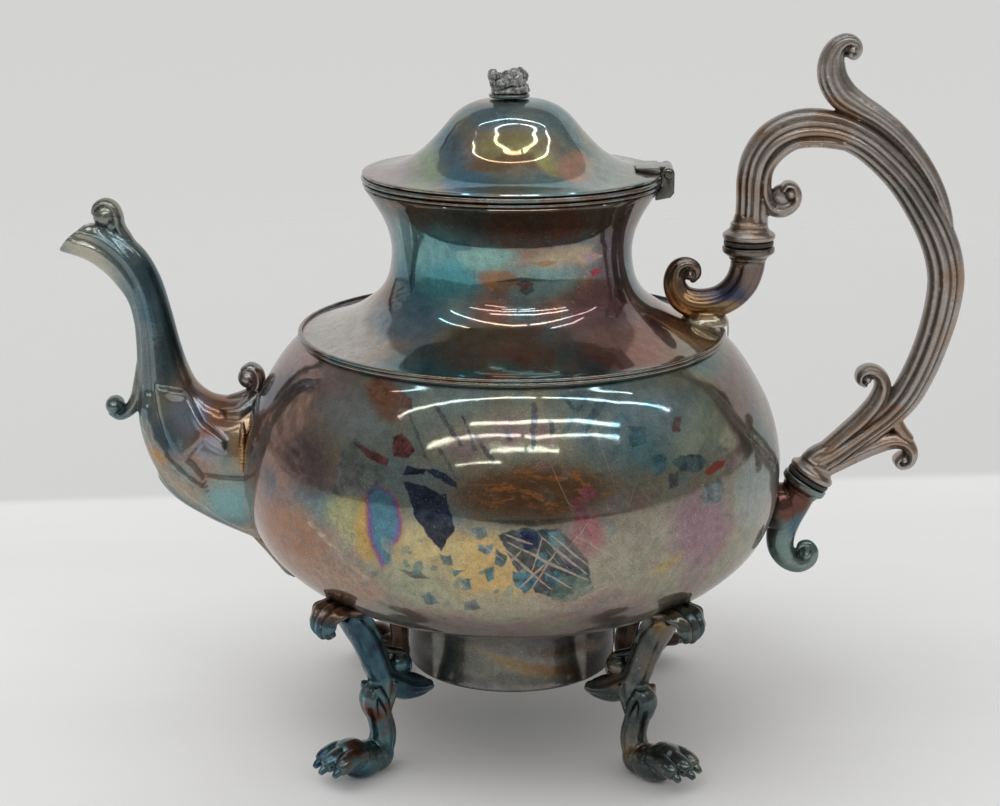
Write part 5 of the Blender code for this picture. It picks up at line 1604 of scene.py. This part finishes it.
def foot_left_colour(g, p):
    wavy = g.warped(p, scale=0.08, amount=6.0)
    colour = g.ramp(g.noise(wavy, scale=0.07),
                    [(0.32, (0.035, 0.05, 0.08)), (0.46, (0.06, 0.13, 0.17)),
                     (0.56, (0.10, 0.17, 0.18)), (0.66, (0.17, 0.07, 0.05)),
                     (0.78, (0.07, 0.06, 0.07))])
    z = g.split(p)[2]
    return g.mix(g.ease(z, 57.0, 61.0, high=0.75), colour, (0.23, 0.12, 0.07))


def foot_right_colour(g, p):
    wavy = g.warped(p, scale=0.08, amount=6.0)
    return g.ramp(g.noise(wavy, scale=0.07),
                  [(0.32, (0.05, 0.07, 0.07)), (0.46, (0.10, 0.12, 0.12)),
                   (0.56, (0.17, 0.16, 0.14)), (0.66, (0.22, 0.15, 0.07)),
                   (0.78, (0.07, 0.07, 0.07))])


# painted shade: the rear feet are coloured near black for the shade they stand in under the pot
def foot_rear_shade_colour(g, p):
    return g.ramp(g.noise(p, scale=0.07),
                  [(0.35, (0.030, 0.024, 0.020)), (0.55, (0.07, 0.045, 0.032)),
                   (0.75, (0.045, 0.050, 0.050))])


def hinge_colour(g, p):
    z = g.split(p)[2]
    colour = g.ramp(g.noise(p, scale=0.20, detail=3),
                    [(0.35, (0.045, 0.045, 0.038)), (0.65, (0.12, 0.115, 0.095))])
    # painted highlight: the top faces above z 194.4 are lightened to pale grey, and the rest
    # stays dark
    return g.mix(g.ease(z, 194.4, 195.0, high=0.85), colour, (0.36, 0.36, 0.33))


def plain(name, colour, worn_colour, rough, metallic):
    mat, g, p = new_material(name)
    wear = g.noise(p, scale=0.8)
    mixed = g.mix(g.remap(wear, 0.35, 0.7), colour, worn_colour)
    normal = g.bump(g.noise(p, scale=2.0, detail=3), strength=0.2, distance=0.0002)
    roughness = g.remap(wear, 0.3, 0.7, low=rough * 0.8, high=rough * 1.2)
    finish_material(g, g.metal(mixed, roughness, normal, metallic))
    return mat


def finial_material():
    """Grainy broken metal."""
    mat, g, p = new_material("finial_break_metal")
    grain = g.noise(p, scale=0.55, detail=5, rough=0.65)
    pointiness = g.out(g.node('ShaderNodeNewGeometry'), 'Pointiness')
    colour = g.ramp(grain, [(0.30, (0.06, 0.055, 0.05)), (0.46, (0.26, 0.26, 0.255)),
                            (0.60, (0.52, 0.52, 0.51)), (0.75, (0.72, 0.71, 0.69))])
    colour = g.mix(g.ease(pointiness, 0.50, 0.44) * 0.9, colour, (0.03, 0.028, 0.025))
    colour = g.mix(g.ease(pointiness, 0.53, 0.60) * 0.7, colour, (0.80, 0.79, 0.77))
    normal = g.bump(g.noise(p, scale=1.6, detail=5, rough=0.7), strength=0.6, distance=0.0005)
    normal = g.bump(g.noise(p, scale=0.6, detail=3), strength=0.5, distance=0.0008,
                    normal=normal)
    rough = g.remap(grain, 0.3, 0.7, low=0.55, high=0.28)
    finish_material(g, g.metal(colour, rough, normal, metallic=0.92))
    return mat


# ============================================================ build the pieces
bowl = build_bowl()
neck = build_neck()
shoulder_wire = build_shoulder_wire()
neck_rim = build_neck_rim()
base_pan = build_base_pan()
lid = build_lid()
lid_wire = build_lid_wire()
bezel = build_bezel()
finial_washer = build_finial_washer()
spout = build_spout()
handle = build_handle()
upper_socket = build_upper_socket()
lower_socket = build_lower_socket()
upper_insulator = build_insulator("upper_washer", UPPER_COLLAR, UPPER_AXIS,
                                  edge=7.7, middle=8.1, crown=8.2, bore=upper_bore())
lower_insulator = build_insulator("lower_washer", LOWER_COLLAR, LOWER_AXIS,
                                  edge=7.1, middle=7.5, crown=7.6, bore=lower_bore())
feet = build_feet()
stub = build_stub()
bracket = build_bracket()
strap = build_strap()
hinge_pin = build_hinge_pin()

# ============================================================ materials
BELLY_METAL = tarnish("tarnished_belly", belly_colour, haze=0.38, grain=0.6, saturation=1.10,
                      marks=belly_marks, seed=1.0)
NECK_METAL = tarnish("tarnished_neck", neck_colour, haze=0.30, sharp=0.05, seed=2.0,
                     gain=(1.12, 1.24, 1.24))
LID_METAL = tarnish("tarnished_lid", lid_colour, haze=0.34, sharp=0.05, seed=3.0,
                    gain=(1.08, 1.17, 1.30))
PAN_METAL = tarnish("tarnished_pan", pan_colour, haze=0.42, sharp=0.10, seed=4.0)
RIM_METAL = tarnish("tarnished_rim", rim_colour, haze=0.25, sharp=0.08, seed=5.0)
SPOUT_METAL = cast("cast_spout", spout_colour, sharp=0.09, haze=0.30, edge_amount=0.30,
                   edge=(0.56, 0.54, 0.48), soot_amount=0.78)
# the handle's pale edge colour and high edge_amount paint highlights on its ridges as well as
# wear
HANDLE_METAL = cast("cast_handle", handle_colour, sharp=0.20, haze=0.40, broad=0.42,
                    edge=(0.72, 0.69, 0.65), edge_amount=0.55, soot_range=(0.51, 0.46))
UPPER_SOCKET_METAL = cast("cast_upper_socket", upper_socket_colour, sharp=0.12, haze=0.3,
                          edge_amount=0.35, edge=(0.50, 0.44, 0.38))
LOWER_SOCKET_METAL = cast("cast_lower_socket", lower_socket_colour, sharp=0.12, haze=0.35,
                          edge_amount=0.25, edge=(0.45, 0.47, 0.43))
FOOT_LEFT_METAL = cast("cast_foot_blue", foot_left_colour, sharp=0.13, haze=0.30,
                       edge_amount=0.45, edge=(0.36, 0.44, 0.44))
FOOT_RIGHT_METAL = cast("cast_foot_grey", foot_right_colour, sharp=0.13, haze=0.30,
                        edge_amount=0.45, edge=(0.42, 0.43, 0.40))
# rear feet: near-black painted shade rather than their own tarnish colour
FOOT_REAR_SHADE_METAL = cast("cast_foot_rear_painted_shade", foot_rear_shade_colour, sharp=0.16, haze=0.35,
                       edge_amount=0.15, edge=(0.20, 0.16, 0.13))
HINGE_METAL = cast("cast_hinge", hinge_colour, sharp=0.15, haze=0.35, edge_amount=0.35,
                   edge=(0.52, 0.51, 0.47))
STUB_METAL = finial_material()
INSULATOR_DARK = plain("dark_insulator", colour=(0.018, 0.016, 0.014),
                       worn_colour=(0.05, 0.045, 0.04), rough=0.5, metallic=0.0)
STEEL = plain("steel", colour=(0.42, 0.41, 0.39), worn_colour=(0.25, 0.23, 0.20),
              rough=0.34, metallic=1.0)

# ============================================================ what rides where
# piece, material, body it rides, slot, frame node it replaces
PLACES = [
    (bowl, BELLY_METAL, ROOT, "tarnished_silver", "bowl"),
    (neck, NECK_METAL, ROOT, "tarnished_silver", "neck"),
    (shoulder_wire, RIM_METAL, ROOT, "tarnished_silver", "shoulder_wire"),
    (neck_rim, RIM_METAL, ROOT, "tarnished_silver", "neck_rim"),
    (base_pan, PAN_METAL, ROOT, "tarnished_silver", "base_pan"),
    (spout, SPOUT_METAL, ROOT, "spout_silver", "spout"),
    (handle, HANDLE_METAL, ROOT, "handle_silver", "handle"),
    (upper_socket, UPPER_SOCKET_METAL, ROOT, "socket_silver", "upper_socket"),
    (lower_socket, LOWER_SOCKET_METAL, ROOT, "socket_silver", "lower_socket"),
    (upper_insulator, INSULATOR_DARK, ROOT, "insulator", "upper_insulator"),
    (lower_insulator, INSULATOR_DARK, ROOT, "insulator", "lower_insulator"),
    (bracket, HINGE_METAL, ROOT, "hinge_silver", "hinge_bracket"),
    (hinge_pin, HINGE_METAL, ROOT, "steel", "hinge_pin"),
    (feet["front_left"], FOOT_LEFT_METAL, ROOT, "foot_silver", "foot_front_left"),
    (feet["front_right"], FOOT_RIGHT_METAL, ROOT, "foot_silver", "foot_front_right"),
    (feet["rear_left"], FOOT_REAR_SHADE_METAL, ROOT, "foot_silver", "foot_rear_left"),
    (feet["rear_right"], FOOT_REAR_SHADE_METAL, ROOT, "foot_silver", "foot_rear_right"),
    (lid, LID_METAL, LID, "tarnished_silver", "lid_dome"),
    (lid_wire, RIM_METAL, LID, "tarnished_silver", "lid_rim_wire"),
    (bezel, RIM_METAL, LID, "tarnished_silver", "lid_bezel"),
    (finial_washer, RIM_METAL, LID, "tarnished_silver", "finial_base_ring"),
    (stub, STUB_METAL, LID, "finial_stub", "finial"),
    (strap, HINGE_METAL, LID, "hinge_silver", "hinge_lid_strap")]

for piece, material, body, slot, node in PLACES:
    piece.data.materials.clear()
    piece.data.materials.append(material)
    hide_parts(node)
    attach(piece, body)
for node in ("upper_handle_pin", "lower_handle_pin", "finial_stud", "finial_nut"):
    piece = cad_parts[node]
    piece.data.materials.clear()
    piece.data.materials.append(STEEL)


# ============================================================ floor, room and camera
def build_floor():
    """Pale cloth, fading out at its edge."""
    x0, x1, y0, y1 = -2000.0, 2000.0, -1200.0, 1600.0
    mesh = bpy.data.meshes.new("floor")
    mesh.from_pydata([(x * MM, y * MM, 0.0) for y in (y0, y1) for x in (x0, x1)], [],
                     [(0, 1, 3, 2)])
    mesh.shade_smooth()
    floor = add_object("floor", mesh)
    mat, g, p = new_material("pale_floor")
    x, y, _ = g.split(p)
    fold = g.noise(g.mapped(p, rot=(0, 0, 0.12), size=(1.0, 3.2, 1.0), kind='POINT'),
                   scale=0.0032, detail=3, rough=0.5)
    # a slanting, wavy line parts the cloth from the ground behind
    far = g.ease(y - x * 0.1205 + (fold - 0.5) * 8.0, 255.0, 270.0)
    tone = g.remap(fold, 0.3, 0.7, low=0.77, high=0.82)
    # painted shadow: the cloth is darkened right under the pot
    under = g.vmath('LENGTH', g.mapped(p, (0.0, 6.0, 0.0), size=(88.0, 70.0, 1.0)), key=1)
    tone = tone * g.ease(under, 0.15, 1.15, low=0.80)
    back = g.remap(y, 270.0, 1500.0, low=0.665, high=0.765)
    value = g.mix_value(far, tone, back)
    reach = g.vmath('LENGTH', p, key=1)
    finish_material(g, g.out(g.node('ShaderNodeBsdfPrincipled', {
        'Base Color': g.join(value, value * 0.997, value * 0.992),
        'Roughness': 0.9, 'Specular IOR Level': 0.1,
        'Alpha': g.ease(reach, 700.0, 1180.0, low=1.0, high=0.0),
        'Normal': g.bump(fold, strength=0.25, distance=0.004)})))
    mesh.materials.append(mat)


# rows of ceiling tubes, on a plane at unit height: place towards -Y, x from, x to, half width,
# x of a gap (0 for none), slope at x < 0, x where the other bend starts, slope beyond it
TUBES = [
    (-0.05, -0.72, 0.75, 0.016, 0.0, 0.0, 0.0, 0.0),
    (0.168, -0.96, 1.46, 0.022, 0.15, 0.30, 0.70, 0.26),
    (0.725, -0.32, 0.99, 0.030, 0.0, 0.0, 0.0, 0.20),
    (0.915, -0.82, 1.09, 0.024, 0.12, 0.0, 0.25, 0.26),
    (1.06, -0.18, 0.50, 0.022, 0.16, 0.09, 0.0, 0.09),
    (1.225, -0.62, -0.09, 0.026, 0.0, 0.17, 0.0, 0.17)]
# height of the cloth's near edge round the pot: ramp place, level
CLOTH_EDGE = [(0.08, 0.36), (0.21, 0.47), (0.35, 0.66), (0.44, 0.50), (0.54, 0.25),
              (0.65, 0.42), (0.81, 0.45), (1.00, 0.39)]
DEGREES = 57.29578


def tube_mask(g, plane_x, plane_y):
    total = None
    for place, x0, x1, half, gap, left_slope, bend_x, right_slope in TUBES:
        bend = ((plane_x * -1.0).max(0.0) * left_slope
                - (plane_x - bend_x).max(0.0) * right_slope)
        row = g.remap((plane_y - place - bend).abs(), half, half * 0.8)
        row = row * g.remap(plane_x, x0, x0 + 0.012) * g.remap(plane_x, x1, x1 - 0.012)
        if gap:
            row = row * g.remap((plane_x - gap).abs(), 0.012, 0.02)
        total = row if total is None else total.max(row)
    return total


def build_world():
    """Plain backdrop for the camera, soft fill for diffuse rays, a whole room for glossy ones."""
    world = bpy.data.worlds.new("room")
    bpy.context.scene.world = world
    world.use_nodes = True
    g = Graph(world.node_tree)
    ray = g.vmath('NORMALIZE', g.out(g.node('ShaderNodeTexCoord'), 'Generated'))
    x, y, z = g.split(ray)
    up = z.max(0.02)
    plane_x, plane_y = x / up, -1.0 * y / up
    # degrees of turn from -Y, positive towards +X, and of height
    azimuth = g.math('ARCTAN2', x, -1.0 * y) * DEGREES
    height = g.math('ARCSINE', z) * DEGREES
    # room between the edges of the white sheet
    wavy = azimuth + (g.noise(ray, scale=6.0, detail=3) - 0.5) * 6.0
    room = g.remap(wavy, -138.0, -136.0) * g.remap(wavy, 126.0, 124.0)
    side = g.ease(azimuth.abs(), 18.0, 75.0)
    rise = g.ease(height, 0.0, 24.0)
    inner = g.mix_value(side, g.mix_value(rise, 0.030, 0.13), 0.40)
    inner = inner * g.remap(g.noise(g.mapped(ray, size=(3.0, 3.0, 9.0), kind='POINT'),
                                    scale=2.0, detail=3), 0.40, 0.66, low=0.6, high=1.7)
    edge = g.ease(wavy, -130.0, -135.0).max(g.ease(wavy, 113.0, 118.0))
    inner = g.mix_value(edge, inner, 0.018)
    # white sheet behind, up to about forty-five degrees
    sheet = g.mix_value(room, 0.72, inner)
    top = g.remap(plane_y, -1.02, -0.94) * (z > 0.0)
    top = top.max(g.ease(height, 27.0, 33.0) * room)
    ceiling = g.remap(g.noise(g.join(plane_x, plane_y, 0.0), scale=1.4, detail=3, rough=0.5),
                      0.3, 0.7, low=0.20, high=0.36)
    tubes = tube_mask(g, plane_x, plane_y) * (z > 0.05)
    glossy = g.mix_value(top, sheet, ceiling)
    tint = g.mix(top, g.mix(room, (1.0, 1.0, 0.99), (1.0, 0.93, 0.84)), (1.0, 1.0, 0.97))
    # the near edge of the cloth rises and falls round the pot
    level = g.ramp(g.remap(azimuth, -120.0, 120.0),
                   [(place, (value, 0, 0)) for place, value in CLOTH_EDGE])
    cloth = g.remap(height - (g.split(level)[0] - 0.5) * 20.0, 0.4, -0.6)
    glossy = g.mix_value(cloth, glossy, 0.72)
    tint = g.mix(cloth, tint, (1.0, 0.995, 0.985))
    reflected = g.mix(tubes, g.tinted(tint, glossy), (8.4, 8.8, 9.2))
    light_path = g.node('ShaderNodeLightPath')
    back = g.remap(z, -0.2, 0.35, low=0.665, high=0.61)
    soft = g.remap(z, -0.2, 0.9, low=0.68, high=0.89)
    colour = g.mix(g.out(light_path, 'Is Glossy Ray'), g.join(soft, soft, soft), reflected)
    colour = g.mix(g.out(light_path, 'Is Camera Ray'), colour, g.join(back, back, back * 0.99))
    background = g.node('ShaderNodeBackground', {'Color': colour})
    g.node('ShaderNodeOutputWorld', {'Surface': g.out(background)})


def build_key_light():
    """Large soft lamp above the front, on the spout's side; metres and watts."""
    data = bpy.data.lights.new("soft_key", 'AREA')
    data.shape = 'RECTANGLE'
    data.size, data.size_y = 1.6, 1.0
    data.energy = 7.6
    lamp = bpy.data.objects.new("soft_key", data)
    lamp.location = (-0.7, -0.5, 1.7)
    aim = Vector((0, 0, 0.08))
    lamp.rotation_euler = (aim - lamp.location).to_track_quat('-Z', 'Y').to_euler()
    lamp.visible_glossy = False
    lamp.visible_camera = False
    bpy.context.scene.collection.objects.link(lamp)


def build_camera():
    """Camera in front, looking down a little; metres."""
    pitch_down, yaw = 15.46, 1.72
    data = bpy.data.cameras.new("camera")
    data.sensor_width = 36.0
    data.lens = 72.0
    data.clip_start = 0.02
    data.clip_end = 20.0
    camera = bpy.data.objects.new("camera", data)
    camera.location = (0.0156, -0.6494, 0.2940)
    camera.rotation_euler = (math.radians(90.0 - pitch_down), 0.0, math.radians(yaw))
    bpy.context.scene.collection.objects.link(camera)
    bpy.context.scene.camera = camera


build_floor()
build_world()
build_key_light()
build_camera()
bpy.context.scene.view_settings.view_transform = 'Standard'
